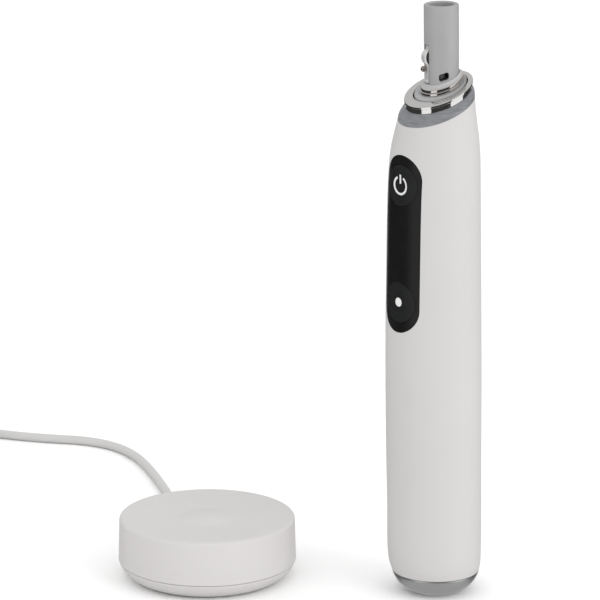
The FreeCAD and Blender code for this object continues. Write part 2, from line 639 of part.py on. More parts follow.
def make_latch_spring():
    """Bent strip: a rolled foot, a straight leg, a hole for the pin and an arch that stands proud."""
    outside = -(SLEEVE_RADIUS + LATCH_PROUD)
    arch_low = LATCH_PIN_LEVEL + 1.35
    arch_high = LATCH_TOP - 1.0
    arch_mid = (arch_low + arch_high) / 2
    peak = -(SLEEVE_RADIUS + LATCH_BULGE)
    tail = -(SLEEVE_RADIUS - LATCH_TAIL)

    def side(shift):
        return [Part.makeLine(Vec(0, outside + shift, LATCH_FOOT), Vec(0, outside + shift, arch_low)),
                Part.Arc(Vec(0, outside + shift, arch_low), Vec(0, peak + shift, arch_mid),
                         Vec(0, tail + shift, arch_high)).toShape(),
                Part.makeLine(Vec(0, tail + shift, arch_high), Vec(0, tail + shift, LATCH_TOP))]

    thick = LATCH_THICKNESS
    ends = [Part.makeLine(Vec(0, outside, LATCH_FOOT), Vec(0, outside + thick, LATCH_FOOT)),
            Part.makeLine(Vec(0, tail, LATCH_TOP), Vec(0, tail + thick, LATCH_TOP))]
    outline = Part.Wire(Part.__sortEdges__(side(0) + side(thick) + ends))
    strip = Part.Face(outline).extrude(Vec(LATCH_WIDTH, 0, 0))
    strip.translate(Vec(-LATCH_WIDTH / 2, 0, 0))
    roll_start = Vec(-LATCH_WIDTH / 2, outside + thick / 2, LATCH_FOOT + LATCH_ROLL)
    strip = strip.fuse(Part.makeCylinder(LATCH_ROLL, LATCH_WIDTH, roll_start, Vec(1, 0, 0)))
    strip = strip.cut(across(LATCH_PIN_RADIUS, -12, 0, LATCH_PIN_LEVEL)).removeSplitter()
    return turned_about_z(strip, LATCH_TURN)


def make_latch_pin():
    """Chrome pin with a ball end that clicks into the brush head."""
    end = -(SLEEVE_RADIUS + LATCH_PIN_PROUD)
    ball = LATCH_PIN_RADIUS + LATCH_BALL
    pin = across(LATCH_PIN_RADIUS - 0.02, end + ball, -(SLEEVE_BORE + 0.3), LATCH_PIN_LEVEL)
    pin = pin.fuse(Part.makeSphere(ball, Vec(0, end + ball, LATCH_PIN_LEVEL)))
    return turned_about_z(pin, LATCH_TURN)


def make_motor_case():
    """Tube round the coil with an upper neck that holds the sleeve, and flats for the pins."""
    case = tube(MOTOR_RADIUS, MOTOR_RADIUS - MOTOR_WALL, MOTOR_LOW, MOTOR_HIGH)
    bore = SHAFT_RADIUS + SHAFT_ROOM
    lid = tube(MOTOR_RADIUS, bore, MOTOR_HIGH - 1.2, MOTOR_HIGH)
    neck = tube(SLEEVE_RADIUS + 1.07, bore, MOTOR_HIGH - 0.2, -SLEEVE_FOOT)
    return case.fuse(lid).fuse(neck).removeSplitter()


def make_motor_coil():
    """Fixed winding on its bobbin: two flanges and the wire between them."""
    middle = (MOTOR_LOW + MOTOR_HIGH) / 2
    half = ARMATURE_LENGTH / 2 + 1
    winding = tube(COIL_OUTER - 0.3, COIL_INNER, middle - half, middle + half)
    for level in (middle - half, middle + half - 0.8):
        winding = winding.fuse(tube(COIL_OUTER, COIL_INNER, level, level + 0.8))
    return winding


def make_plate_spring(level):
    """Flat spring: rim, hub and three curved arms."""
    rim = MOTOR_RADIUS - MOTOR_WALL - 0.02
    spring = tube(rim, rim - 0.8, level, level + SPRING_THICKNESS)
    hub = SHAFT_RADIUS + RUNNING_GAP
    spring = spring.fuse(tube(hub + 0.9, hub, level, level + SPRING_THICKNESS))
    arm_middle = (hub + rim) / 2
    arm_radius = (rim - hub) / 2 - 0.2
    for index in range(3):
        arm = tube(arm_radius, arm_radius - 0.6, level, level + SPRING_THICKNESS, arm_middle, 0)
        arm = arm.common(box(0, 20, 0, 20, level - 1, level + 1))
        spring = spring.fuse(turned_about_z(arm, 120 * index))
    return spring.removeSplitter()


def make_tilt_pins():
    """Two pins on the motor case that sit in the chassis ears."""
    pins = []
    for side in (-1, 1):
        root = MOTOR_RADIUS - 0.35
        start = Vec(side * root, pivot_back, pivot_height)
        pins.append(Part.makeCylinder(TILT_PIN_RADIUS, pin_reach - root, start, Vec(side, 0, 0)))
    return Part.makeCompound(pins)


middle_level = (MOTOR_LOW + MOTOR_HIGH) / 2
shapes["neck_plate"] = make_plate()
shapes["neck_collar"] = make_collar()
shapes["coupling_sleeve"] = in_neck(make_sleeve())
shapes["latch_spring"] = in_neck(make_latch_spring())
shapes["latch_pin"] = in_neck(make_latch_pin())
tilt_pins = make_tilt_pins()
shapes["motor_case"] = in_neck(make_motor_case()).cut(tilt_pins)
shapes["tilt_pins"] = tilt_pins
shapes["motor_coil"] = in_neck(make_motor_coil())
end_cap = tube(MOTOR_RADIUS - MOTOR_WALL - 0.03, SHAFT_RADIUS + SHAFT_ROOM, MOTOR_LOW + 0.1, MOTOR_LOW + 1.5)
shapes["motor_end_cap"] = in_neck(end_cap)
shapes["lower_spring"] = in_neck(make_plate_spring(MOTOR_LOW + 4.0))
shapes["upper_spring"] = in_neck(make_plate_spring(MOTOR_HIGH - 4.0))
seal_low = 0.2 - SLEEVE_FOOT
seal = tube(SLEEVE_BORE - 0.02, SHAFT_RADIUS + RUNNING_GAP, seal_low, seal_low + 3.0)
shapes["shaft_seal"] = in_neck(seal)
shapes["drive_shaft"] = in_neck(tube(SHAFT_RADIUS, 0, MOTOR_LOW + 2.6, SHAFT_TOP))
armature_low = middle_level - ARMATURE_LENGTH / 2
armature_high = armature_low + ARMATURE_LENGTH
magnet = tube(ARMATURE_RADIUS, SHAFT_RADIUS, armature_low + YOKE_LENGTH, armature_high - YOKE_LENGTH)
shapes["armature_magnet"] = in_neck(magnet)
yokes = [in_neck(tube(ARMATURE_RADIUS, SHAFT_RADIUS, low, low + YOKE_LENGTH))
         for low in (armature_low, armature_high - YOKE_LENGTH)]
shapes["armature_yokes"] = Part.makeCompound(yokes)
shapes["shaft_magnet"] = in_neck(tube(SHAFT_RADIUS, 0, SHAFT_TOP, SHAFT_TOP + SHAFT_MAGNET_HEIGHT))


# ---- stand the handle in the set -------------------------------------------------------------------
def handle_reach(way_degrees):
    """How far the turned handle reaches from its axis in one level direction."""
    front = HANDLE_TURN - 90.0
    along = math.cos(math.radians(way_degrees - front))
    return max(radius + forward * along for height, radius, forward in SECTIONS)


puck_x = -SET_WIDTH / 2 + PUCK_RADIUS
puck_y = SET_DEPTH / 2 - PUCK_RADIUS
handle_x = SET_WIDTH / 2 - handle_reach(0)
handle_y = -SET_DEPTH / 2 + handle_reach(-90)
handle_place = FreeCAD.Placement(Vec(handle_x, handle_y, 0), FreeCAD.Rotation(UP, HANDLE_TURN))
puck_place = FreeCAD.Placement(Vec(puck_x, puck_y, 0), FreeCAD.Rotation())
for name in list(shapes):
    shapes[name] = moved(shapes[name], handle_place)


# ---- charging puck, about its own axis --------------------------------------------------------------
def puck_outside():
    """Outer form of the top shell: drafted wall, round edge, shallow dish, central dome."""
    top = PUCK_HEIGHT
    edge_x = PUCK_TOP_RADIUS - PUCK_EDGE
    corner = PUCK_EDGE * (1 - math.sqrt(0.5))
    dish = top - DISH_DEPTH
    dome_top = dish + DOME_HEIGHT
    wall = Part.makeLine(Vec(PUCK_RADIUS, 0, PUCK_SEAM), Vec(PUCK_TOP_RADIUS, 0, top - PUCK_EDGE))
    edge_middle = Vec(PUCK_TOP_RADIUS - corner, 0, top - corner)
    edge = Part.Arc(Vec(PUCK_TOP_RADIUS, 0, top - PUCK_EDGE), edge_middle, Vec(edge_x, 0, top)).toShape()
    sag = DISH_DEPTH * 0.28
    rim_middle = Vec((edge_x + DOME_RADIUS) / 2, 0, (top + dish) / 2 - sag)
    rim = Part.Arc(Vec(edge_x, 0, top), rim_middle, Vec(DOME_RADIUS, 0, dish)).toShape()
    dome_ball = (DOME_RADIUS ** 2 + DOME_HEIGHT ** 2) / (2 * DOME_HEIGHT)
    half_x = DOME_RADIUS / 2
    half_z = dome_top - dome_ball + math.sqrt(dome_ball ** 2 - half_x ** 2)
    dome = Part.Arc(Vec(DOME_RADIUS, 0, dish), Vec(half_x, 0, half_z), Vec(0, 0, dome_top)).toShape()
    axis = Part.makeLine(Vec(0, 0, dome_top), Vec(0, 0, PUCK_SEAM))
    floor = Part.makeLine(Vec(0, 0, PUCK_SEAM), Vec(PUCK_RADIUS, 0, PUCK_SEAM))
    return Part.Face(Part.Wire([wall, edge, rim, dome, axis, floor])).revolve(Vec(0, 0, 0), UP, 360)


def make_puck_shell():
    hollow = tube(PUCK_TOP_RADIUS - PUCK_WALL, 0, PUCK_SEAM - 1, PUCK_HEIGHT - DISH_DEPTH - PUCK_WALL)
    return puck_outside().cut(hollow)


def make_puck_base():
    """Tapered tray with a rim that stands up inside the shell, and a groove for the foot ring."""
    low = FOOT_RING_PROUD
    high = PUCK_SEAM - SEAM
    flank_middle = Vec(BASE_FOOT_RADIUS + 0.63 * BASE_FLARE, 0, low + (high - low) * 0.42)
    flank = Part.Arc(Vec(BASE_FOOT_RADIUS, 0, low), flank_middle, Vec(PUCK_RADIUS - 0.1, 0, high)).toShape()
    edges = [Part.makeLine(Vec(0, 0, low), Vec(BASE_FOOT_RADIUS, 0, low)), flank,
             Part.makeLine(Vec(PUCK_RADIUS - 0.1, 0, high), Vec(0, 0, high)),
             Part.makeLine(Vec(0, 0, high), Vec(0, 0, low))]
    tray = Part.Face(Part.Wire(edges)).revolve(Vec(0, 0, 0), UP, 360)
    rim_radius = PUCK_TOP_RADIUS - PUCK_WALL - FIT
    tray = tray.fuse(tube(rim_radius, 0, high - 1, PUCK_SEAM + 3.2))
    tray = tray.cut(tube(BASE_FOOT_RADIUS - 1.0, 0, low + BASE_FLOOR, PUCK_SEAM + 4))
    tray = tray.cut(tube(rim_radius - BASE_RIM_WALL, 0, high - 0.6, PUCK_SEAM + 4))
    tray = tray.cut(tube(FOOT_RING_OUTER + FIT, FOOT_RING_OUTER - FOOT_RING_WIDTH - FIT, low - 1, low + 1.1))
    for turn in (30, 150, 270):
        post = tube(1.6, 0, low + BASE_FLOOR - 0.5, board_low(), charger_board_radius() - 3.0, 0)
        tray = tray.fuse(turned_about_z(post, turn))
    return tray.cut(cord_hole(CORD_DIAMETER / 2 + CORD_HOLE_ROOM)).removeSplitter()


def charger_board_radius():
    return BASE_FOOT_RADIUS - CHARGER_BOARD_INSET


def board_low():
    return FOOT_RING_PROUD + BASE_FLOOR + 2.4


def cord_hole(radius):
    """Round hole through the rear wall, square to it, at the cord's height."""
    hole = Part.makeCylinder(radius, 12, Vec(PUCK_RADIUS - 9, 0, CORD_EXIT_HEIGHT), Vec(1, 0, 0))
    return turned_about_z(hole, CORD_EXIT_TURN)


def make_foot_ring():
    ring = tube(FOOT_RING_OUTER, FOOT_RING_OUTER - FOOT_RING_WIDTH, 0, FOOT_RING_PROUD + 1.0)
    rims = [edge for edge in ring.Edges if edge.BoundBox.ZLength < 0.01 and edge.BoundBox.ZMax < 0.01]
    return ring.makeFillet(0.3, rims)


def make_primary_coil():
    outer, inner, height = CHARGER_COIL
    low = board_low() + 2.6
    return tube(outer, inner, low, low + height)


def make_pot_core():
    """Ferrite cup under the winding with a centre post."""
    outer, inner, height = CHARGER_COIL
    low = board_low() + 1.3
    cup = tube(outer + 1.6, 0, low, low + height + 1.0)
    cup = cup.cut(tube(outer + 0.2, inner - 0.2, low + 1.2, low + height + 3.0))
    return cup.cut(tube(CHARGER_MAGNET_RADIUS + 0.1, 0, low - 1, low + height + 3.0))


def make_strain_relief():
    """Tapered soft boot on the cord, with a collar held inside the base wall."""
    start = BASE_FOOT_RADIUS + 0.2
    end = PUCK_RADIUS + RELIEF_REACH
    inner = CORD_DIAMETER / 2
    collar = Part.makeCylinder(inner + 1.1, 1.2, Vec(start - 1.0, 0, CORD_EXIT_HEIGHT), Vec(1, 0, 0))
    root = Vec(start, 0, CORD_EXIT_HEIGHT)
    boot = Part.makeCone(inner + 1.05, inner + 0.35, end - start, root, Vec(1, 0, 0)).fuse(collar)
    boot = boot.cut(Part.makeCylinder(inner, end - start + 2, root - Vec(1, 0, 0), Vec(1, 0, 0)))
    return turned_about_z(boot, CORD_EXIT_TURN)


shell_top = PUCK_HEIGHT - DISH_DEPTH - PUCK_WALL
charger = {
    "charger_shell": make_puck_shell().cut(cord_hole(CORD_DIAMETER / 2 + CORD_HOLE_ROOM)),
    "charger_base": make_puck_base(),
    "foot_ring": make_foot_ring(),
    "primary_coil": make_primary_coil(),
    "pot_core": make_pot_core(),
    "charger_magnet": tube(CHARGER_MAGNET_RADIUS, 0, board_low() + 2.6, shell_top - 0.2),
    "charger_board": tube(charger_board_radius(), 0, board_low() + 0.02, board_low() + 1.2),
    "strain_relief": make_strain_relief(),
}
for name, solid in charger.items():
    shapes[name] = moved(solid, puck_place)


# ---- cord -------------------------------------------------------------------------------------------
def rounded_path(points):
    """Straight runs joined by tangent arcs, each as large as its two runs allow."""
    edges = []
    radii = []
    last = points[0]
    for before, corner, after in zip(points, points[1:], points[2:]):
        way_in = (corner - before).normalize()
        way_out = (after - corner).normalize()
        half_turn = way_in.getAngle(way_out) / 2
        cut = 0.45 * min((corner - before).Length, (after - corner).Length)
        radius = cut / math.tan(half_turn)
        inward = (way_out - way_in).normalize()
        middle = corner + inward * (math.hypot(cut, radius) - radius)
        start = corner - way_in * cut
        end = corner + way_out * cut
        edges.append(Part.makeLine(last, start))
        edges.append(Part.Arc(start, middle, end).toShape())
        radii.append(radius)
        last = end
    edges.append(Part.makeLine(last, points[-1]))
    return edges, radii


def cord_along(points):
    """Round cord along a route; prints its length, its volume against that length, and its bends."""
    edges, radii = rounded_path(points)
    path = Part.Wire(edges)
    way = (points[1] - points[0]).normalize()
    section = Part.Wire([Part.Circle(points[0], way, CORD_DIAMETER / 2).toShape()])
    solid = path.makePipeShell([section], True, True)
    expected = math.pi * (CORD_DIAMETER / 2) ** 2 * path.Length
    print("cord", round(path.Length, 1), "mm, volume ratio", round(solid.Volume / expected, 4),
          "radii", [round(radius, 1) for radius in radii])
    return solid


# Route from inside the puck's rear wall to the coil's outer turn; then from the coil to the plug.
MAIN_ROUTE = [
    (-34.17, 22.87, 3.3), (-36.43, 35.07, 3.25), (-38.76, 47.04, 2.5), (-41.45, 60.17, 1.7),
    (-44.2, 72.88, 1.6), (-47.42, 86.81, 1.6), (-50.93, 100.57, 1.6), (-54.83, 113.91, 1.6),
    (-59.63, 126.42, 1.6), (-67.01, 137.36, 1.6), (-77.97, 144.34, 1.6), (-91.07, 146.65, 1.6),
    (-103.7, 150.0, 1.6), (-115.4, 154.7, 1.65), (-127.9, 158.8, 1.8), (-140.3, 160.6, 2.05),
]
PLUG_ROUTE = [
    (-163.7, 142.0, 5.15), (-165.1, 130.5, 4.75), (-167.0, 119.2, 4.5), (-168.2, 108.0, 5.6),
    (-168.3, 96.5, 6.8), (-168.2, 85.0, 6.85),
]
PLUG_TURN = 270.0          # the way its pins point
PLUG_ENTRY = (-168.25, 102.0)


def make_coil():
    """Outer shape of the wound length: one ring."""
    half = COIL_COLUMNS * CORD_DIAMETER / 2
    top = COIL_LIFT + COIL_LAYERS * CORD_DIAMETER
    return tube(COIL_MIDDLE_RADIUS + half, COIL_MIDDLE_RADIUS - half, COIL_LIFT, top, *COIL_CENTRE)


def make_tie():
    """Soft strap wrapped once round the coil's bundle."""
    half = COIL_COLUMNS * CORD_DIAMETER / 2 + TIE_ROOM
    low = COIL_LIFT - 0.05
    high = COIL_LIFT + COIL_LAYERS * CORD_DIAMETER + 0.05
    middle = COIL_MIDDLE_RADIUS
    grow = TIE_THICKNESS
    reach = half + grow
    outer = box(middle - reach, middle + reach, -TIE_WIDTH / 2, TIE_WIDTH / 2, low - grow, high + grow)
    edges = [edge for edge in outer.Edges if edge.BoundBox.YLength > 0.9 * TIE_WIDTH]
    strap = outer.makeFillet(0.9, edges)
    strap = strap.cut(box(middle - half, middle + half, -TIE_WIDTH, TIE_WIDTH, low, high))
    strap = turned_about_z(strap, TIE_TURN)
    return moved(strap, FreeCAD.Placement(Vec(COIL_CENTRE[0], COIL_CENTRE[1], 0), FreeCAD.Rotation()))


def plug_place():
    entry = Vec(PLUG_ENTRY[0], PLUG_ENTRY[1], PLUG_THICKNESS / 2)
    return FreeCAD.Placement(entry, FreeCAD.Rotation(UP, PLUG_TURN))


def make_plug_body():
    """Flat two-pin plug, drawn with its cord end at x = 0 and its pins towards +X."""
    waist = 4.2
    shoulder = BOOT_LENGTH + 11.0
    end = BOOT_LENGTH + PLUG_LENGTH
    half = PLUG_WIDTH / 2
    outline = [Vec(BOOT_LENGTH - 1, -waist, 0), Vec(shoulder, -half + 1.2, 0), Vec(shoulder + 7, -half, 0),
               Vec(end, -half, 0), Vec(end, half, 0), Vec(shoulder + 7, half, 0),
               Vec(shoulder, half - 1.2, 0), Vec(BOOT_LENGTH - 1, waist, 0), Vec(BOOT_LENGTH - 1, -waist, 0)]
    slab = Part.Face(Part.makePolygon(outline)).extrude(Vec(0, 0, PLUG_THICKNESS))
    slab.translate(Vec(0, 0, -PLUG_THICKNESS / 2))
    flat = [edge for edge in slab.Edges if edge.BoundBox.ZLength < 0.01]
    slab = slab.makeFillet(1.6, flat)
    boot = Part.makeCone(CORD_DIAMETER / 2 + 0.7, 3.6, BOOT_LENGTH + 2, Vec(0, 0, 0), Vec(1, 0, 0))
    plug = slab.fuse(boot)
    plug = plug.cut(Part.makeCylinder(CORD_DIAMETER / 2, BOOT_LENGTH + 5.1, Vec(-1, 0, 0), Vec(1, 0, 0)))
    for side in (-1, 1):
        place = Vec(end - PIN_ROOT, side * PIN_SPACING / 2, 0)
        plug = plug.cut(Part.makeCylinder(PIN_ROOT_RADIUS + 0.01, PIN_ROOT + 2, place, Vec(1, 0, 0)))
    return moved(plug, plug_place())


def make_plug_pins():
    pins = []
    end = BOOT_LENGTH + PLUG_LENGTH
    for side in (-1, 1):
        face = Vec(end + SEAT, side * PIN_SPACING / 2, 0)
        pin = Part.makeCylinder(PIN_RADIUS, PIN_LENGTH - SEAT, face, Vec(1, 0, 0))
        tip = [edge for edge in pin.Edges if edge.BoundBox.XMin > end + PIN_LENGTH - 0.01]
        root_start = face - Vec(PIN_ROOT - 0.1, 0, 0)
        root = Part.makeCylinder(PIN_ROOT_RADIUS, PIN_ROOT, root_start, Vec(1, 0, 0))
        pins.append(pin.makeFillet(1.0, tip).fuse(root))
    return moved(Part.makeCompound(pins), plug_place())


shapes["power_cord"] = cord_along([Vec(*point) for point in MAIN_ROUTE])
shapes["plug_lead"] = cord_along([Vec(*point) for point in PLUG_ROUTE])
shapes["cord_coil"] = make_coil()
shapes["cord_tie"] = make_tie()
shapes["plug_body"] = make_plug_body()
shapes["plug_pins"] = make_plug_pins()

# ---- write every node ----------------------------------------------------------------------------------
for name, shape in shapes.items():
    if not shape.isValid():
        print("NOT VALID", name)
    shape.exportStep("parts/" + name + ".step")
    limits = shape.optimalBoundingBox()
    print(name, shape.ShapeType, len(shape.Solids), round(shape.Volume, 1),
          [round(low, 2) for low in (limits.XMin, limits.YMin, limits.ZMin)],
          [round(high, 2) for high in (limits.XMax, limits.YMax, limits.ZMax)])
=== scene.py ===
import math

import bmesh
import bpy
import numpy as np
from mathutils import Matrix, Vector


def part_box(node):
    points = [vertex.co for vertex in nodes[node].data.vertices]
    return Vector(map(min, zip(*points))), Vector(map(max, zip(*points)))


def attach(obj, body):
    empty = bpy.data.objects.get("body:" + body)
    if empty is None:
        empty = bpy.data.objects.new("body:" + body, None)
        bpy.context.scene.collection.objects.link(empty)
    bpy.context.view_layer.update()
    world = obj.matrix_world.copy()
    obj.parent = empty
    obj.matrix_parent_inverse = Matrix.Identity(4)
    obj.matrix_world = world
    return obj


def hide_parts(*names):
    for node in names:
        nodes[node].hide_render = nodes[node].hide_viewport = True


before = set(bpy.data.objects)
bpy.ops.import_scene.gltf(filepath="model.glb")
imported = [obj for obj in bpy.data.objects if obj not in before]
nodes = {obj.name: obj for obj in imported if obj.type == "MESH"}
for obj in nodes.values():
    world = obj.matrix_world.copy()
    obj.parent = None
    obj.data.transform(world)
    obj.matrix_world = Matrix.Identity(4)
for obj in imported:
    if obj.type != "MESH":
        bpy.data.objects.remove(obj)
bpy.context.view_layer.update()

# ---------------------------------------------------------------------------
# Camera: a long lens a little over a metre away, looking down on the set from
# the front. The set stands on the floor, with its middle at the origin.
CAMERA_PLACE = (0.00046, -1.13235, 0.396)
LOOK_DOWN = 14.95          # degrees below level
LENS = 217.7               # millimetres
SENSOR = 36.0
collection = bpy.context.scene.collection
camera_data = bpy.data.cameras.new("camera")
camera_data.sensor_width = SENSOR
camera_data.lens = LENS
camera = bpy.data.objects.new("camera", camera_data)
collection.objects.link(camera)
camera.location = CAMERA_PLACE
camera.rotation_euler = (math.radians(90 - LOOK_DOWN), 0, 0)
bpy.context.scene.camera = camera


# ---------------------------------------------------------------------------
# Floor: a wide pale paper sweep under the set, plain but for a faint tooth.
# The small class below writes the arithmetic of every finish in this file.
class Flow:
    """One output of a node. Sums, products, differences and comparisons of Flows add Math nodes."""

    def __init__(self, tree, socket):
        self.tree = tree
        self.socket = socket

    def node(self, kind, settings, inputs, output=0):
        """Adds a node: its settings first, then the values or Flows of its sockets."""
        new = self.tree.nodes.new("ShaderNode" + kind)
        for name, value in settings.items():
            setattr(new, name, value)
        for name, value in inputs.items():
            if isinstance(value, Flow):
                self.tree.links.new(value.socket, new.inputs[name])
            else:
                new.inputs[name].default_value = value
        return Flow(self.tree, new.outputs[output])

    def maths(self, operation, first, second=0.0):
        """One Math node on two numbers or Flows. An operation on one number leaves out the second."""
        return self.node("Math", {"operation": operation}, {0: first, 1: second})

    def __add__(self, other):
        return self.maths("ADD", self, other)

    def __radd__(self, other):
        return self.maths("ADD", other, self)

    def __sub__(self, other):
        return self.maths("SUBTRACT", self, other)

    def __rsub__(self, other):
        return self.maths("SUBTRACT", other, self)

    def __mul__(self, other):
        return self.maths("MULTIPLY", self, other)

    def __rmul__(self, other):
        return self.maths("MULTIPLY", other, self)

    def __gt__(self, other):
        return self.maths("GREATER_THAN", self, other)

    def __lt__(self, other):
        return self.maths("LESS_THAN", self, other)

    def wave(self):
        """Sine of this value, from -1 to 1."""
        return self.maths("SINE", self)

    def grain(self, scale, detail=2.0, roughness=0.5):
        """Noise from 0 to 1, about 0.5 on average, with so many cells to the metre."""
        inputs = {"Vector": self, "Scale": scale, "Detail": detail, "Roughness": roughness}
        return self.node("TexNoise", {}, inputs)

    def blended(self, low, high):
        """Colour that runs from low to high as this value goes from 0 to 1."""
        inputs = {"Factor": self, 6: (*low, 1.0), 7: (*high, 1.0)}
        return self.node("Mix", {"data_type": "RGBA"}, inputs, 2)

    def bumped(self, distance, strength=1.0):
        """Normal for this height, which is distance metres from its lowest to its highest."""
        return self.node("Bump", {}, {"Height": self, "Distance": distance, "Strength": strength})

    def stretched(self, scale, turned=(0.0, 0.0, 0.0)):
        """These coordinates turned, then multiplied by three scales, so that a grain runs in streaks."""
        return self.node("Mapping", {}, {"Vector": self, "Rotation": turned, "Scale": scale})

    def hairlines(self, width):
        """1 on fine scattered scuff lines that run in two slanting directions, and 0 elsewhere."""
        first = self.stretched((2600.0, 160.0, 160.0), (0.4, 0.9, 0.3)).grain(1.0, 1.0)
        second = self.stretched((160.0, 160.0, 3100.0), (0.7, -0.5, 1.1)).grain(1.0, 1.0)
        return (first > width) + (second > width)

    def part_of(self, axis):
        """One of the three numbers of a vector."""
        return self.node("SeparateXYZ", {}, {"Vector": self}, axis)


def new_finish(name, **constants):
    """A finish with its constants set on the shader; returns it, the shader and the object coordinates."""
    finish = bpy.data.materials.new(name)
    finish.use_nodes = True
    tree = finish.node_tree
    shader = tree.nodes["Principled BSDF"]
    for socket, value in constants.items():
        shader.inputs[socket.replace("_", " ")].default_value = value
    place = Flow(tree, tree.nodes.new("ShaderNodeTexCoord").outputs["Object"])
    return finish, shader, place


def feed(shader, **flows):
    """Links Flows to the shader's sockets, an underscore standing for each space."""
    for socket, flow in flows.items():
        flow.tree.links.new(flow.socket, shader.inputs[socket.replace("_", " ")])


FLOOR_HALF = 3.0
floor_mesh = bpy.data.meshes.new("floor")
floor_corners = [(x * FLOOR_HALF, y * FLOOR_HALF, 0) for x, y in ((-1, -1), (1, -1), (1, 1), (-1, 1))]
floor_mesh.from_pydata(floor_corners, [], [(0, 1, 2, 3)])
floor = bpy.data.objects.new("floor", floor_mesh)
collection.objects.link(floor)
paper, shader, place = new_finish("paper", Roughness=0.9, Specular_IOR_Level=0.1)
feed(shader, Base_Color=place.grain(40.0, 3.0).blended((0.97, 0.97, 0.97), (1.0, 1.0, 1.0)))
floor_mesh.materials.append(paper)
floor.visible_glossy = False

# ---------------------------------------------------------------------------
# Light: an even pale studio, one large soft lamp at the front right, and for
# polished metal a dark wall round the set with lit panels, a pale ceiling and
# a pale floor. Panels are in degrees from the front towards the right.
AMBIENT = 1.08
LEFT_PANEL = (-62, -27)
RIGHT_PANEL = (42, 92)
BACK_PANEL = (152, -156)   # across the line straight behind
BACK_SHARE = 0.7           # how bright it is beside the other two
CEILING_FROM = 0.1         # rise of a direction, from -1 to 1
FLOOR_BELOW = -0.62
CEILING_GLOW = 0.72
FLOOR_GLOW = 0.6
WALL_GLOW = 0.05
PANEL_GLOW = 1.2
LAMP_PLACE = (0.95, -0.85, 0.75)
LAMP_AIM = (0.0, 0.0, 0.08)
LAMP_SIZE = 0.9
LAMP_POWER = 5.0
world = bpy.data.worlds.new("studio")
bpy.context.scene.world = world
world.use_nodes = True
sky = world.node_tree
ambient = sky.nodes["Background"]
ambient.inputs["Color"].default_value = (1.0, 1.0, 1.0, 1.0)
ambient.inputs["Strength"].default_value = AMBIENT
way = Flow(sky, sky.nodes.new("ShaderNodeTexCoord").outputs["Generated"])
turn = way.maths("ARCTAN2", way.part_of(0), way.part_of(1) * -1.0)


def lit_panel(low, high):
    """1 between two directions and 0 elsewhere."""
    return (turn > math.radians(low)) * (turn < math.radians(high))


behind = (turn > math.radians(BACK_PANEL[0])) + (turn < math.radians(BACK_PANEL[1]))
panels = lit_panel(*LEFT_PANEL) + lit_panel(*RIGHT_PANEL) + behind * BACK_SHARE
upper = way.part_of(2) > CEILING_FROM
lower = way.part_of(2) < FLOOR_BELOW
wall = 1.0 - upper - lower
glow = upper * CEILING_GLOW + lower * FLOOR_GLOW + wall * (WALL_GLOW + panels * PANEL_GLOW)
mirrored = sky.nodes.new("ShaderNodeBackground")
sky.links.new(glow.socket, mirrored.inputs["Strength"])
chooser = sky.nodes.new("ShaderNodeMixShader")
sky.links.new(sky.nodes.new("ShaderNodeLightPath").outputs["Is Glossy Ray"], chooser.inputs[0])
sky.links.new(ambient.outputs[0], chooser.inputs[1])
sky.links.new(mirrored.outputs[0], chooser.inputs[2])
sky.links.new(chooser.outputs[0], sky.nodes["World Output"].inputs["Surface"])

lamp_data = bpy.data.lights.new("soft_lamp", "AREA")
lamp_data.size = LAMP_SIZE
lamp_data.energy = LAMP_POWER
lamp = bpy.data.objects.new("soft_lamp", lamp_data)
collection.objects.link(lamp)
lamp.location = LAMP_PLACE
lamp.rotation_euler = (Vector(LAMP_AIM) - lamp.location).to_track_quat("-Z", "Y").to_euler()
lamp.visible_glossy = False
bpy.context.scene.view_settings.view_transform = "Standard"

# ---------------------------------------------------------------------------
# Power lead: soft grey vinyl, 3.1 mm across and about 1.2 m long. From the back
# of the charger it runs across the floor, is wound into a neat two-layer coil,
# and ends in its plug. Sizes of pieces are millimetres, turned to metres.
MM = 0.001
CORD_DIAMETER = 3.1
MAIN_ROUTE = [
    (-34.17, 22.87, 3.3), (-36.43, 35.07, 3.25), (-38.76, 47.04, 2.5), (-41.45, 60.17, 1.7),
    (-44.2, 72.88, 1.6), (-47.42, 86.81, 1.6), (-50.93, 100.57, 1.6), (-54.83, 113.91, 1.6),
    (-59.63, 126.42, 1.6), (-67.01, 137.36, 1.6), (-77.97, 144.34, 1.6), (-91.07, 146.65, 1.6),
    (-103.7, 150.0, 1.6), (-115.4, 154.7, 1.65), (-127.9, 158.8, 1.8),
]
PLUG_ROUTE = [
    (-165.1, 130.5, 4.75), (-167.0, 119.2, 4.5), (-168.2, 108.0, 5.6),
    (-168.3, 96.5, 6.8), (-168.2, 85.0, 6.85),
]
COIL_CENTRE = (-141.4, 138.05)
COIL_OUTER = 22.65         # middle of the outermost turn
COIL_TURNS = 4             # in each layer
COIL_LEVELS = (2.05, 5.15)
POINTS_A_TURN = 24
STEP = 0.2                 # last part of a turn, over which the lead steps across or up
COIL_START = math.radians(87.2)
COIL_END = math.radians(170.0)


def smooth(share):
    """Rise from 0 to 1 with level ends: three squares less two cubes, held past either end."""
    share = np.clip(share, 0.0, 1.0)
    return share * share * (3.0 - 2.0 * share)


def stepped(turns):
    """Whole turns gone, plus a smooth step over the last part of each turn."""
    return np.floor(turns) + smooth((turns % 1.0 - (1.0 - STEP)) / STEP)


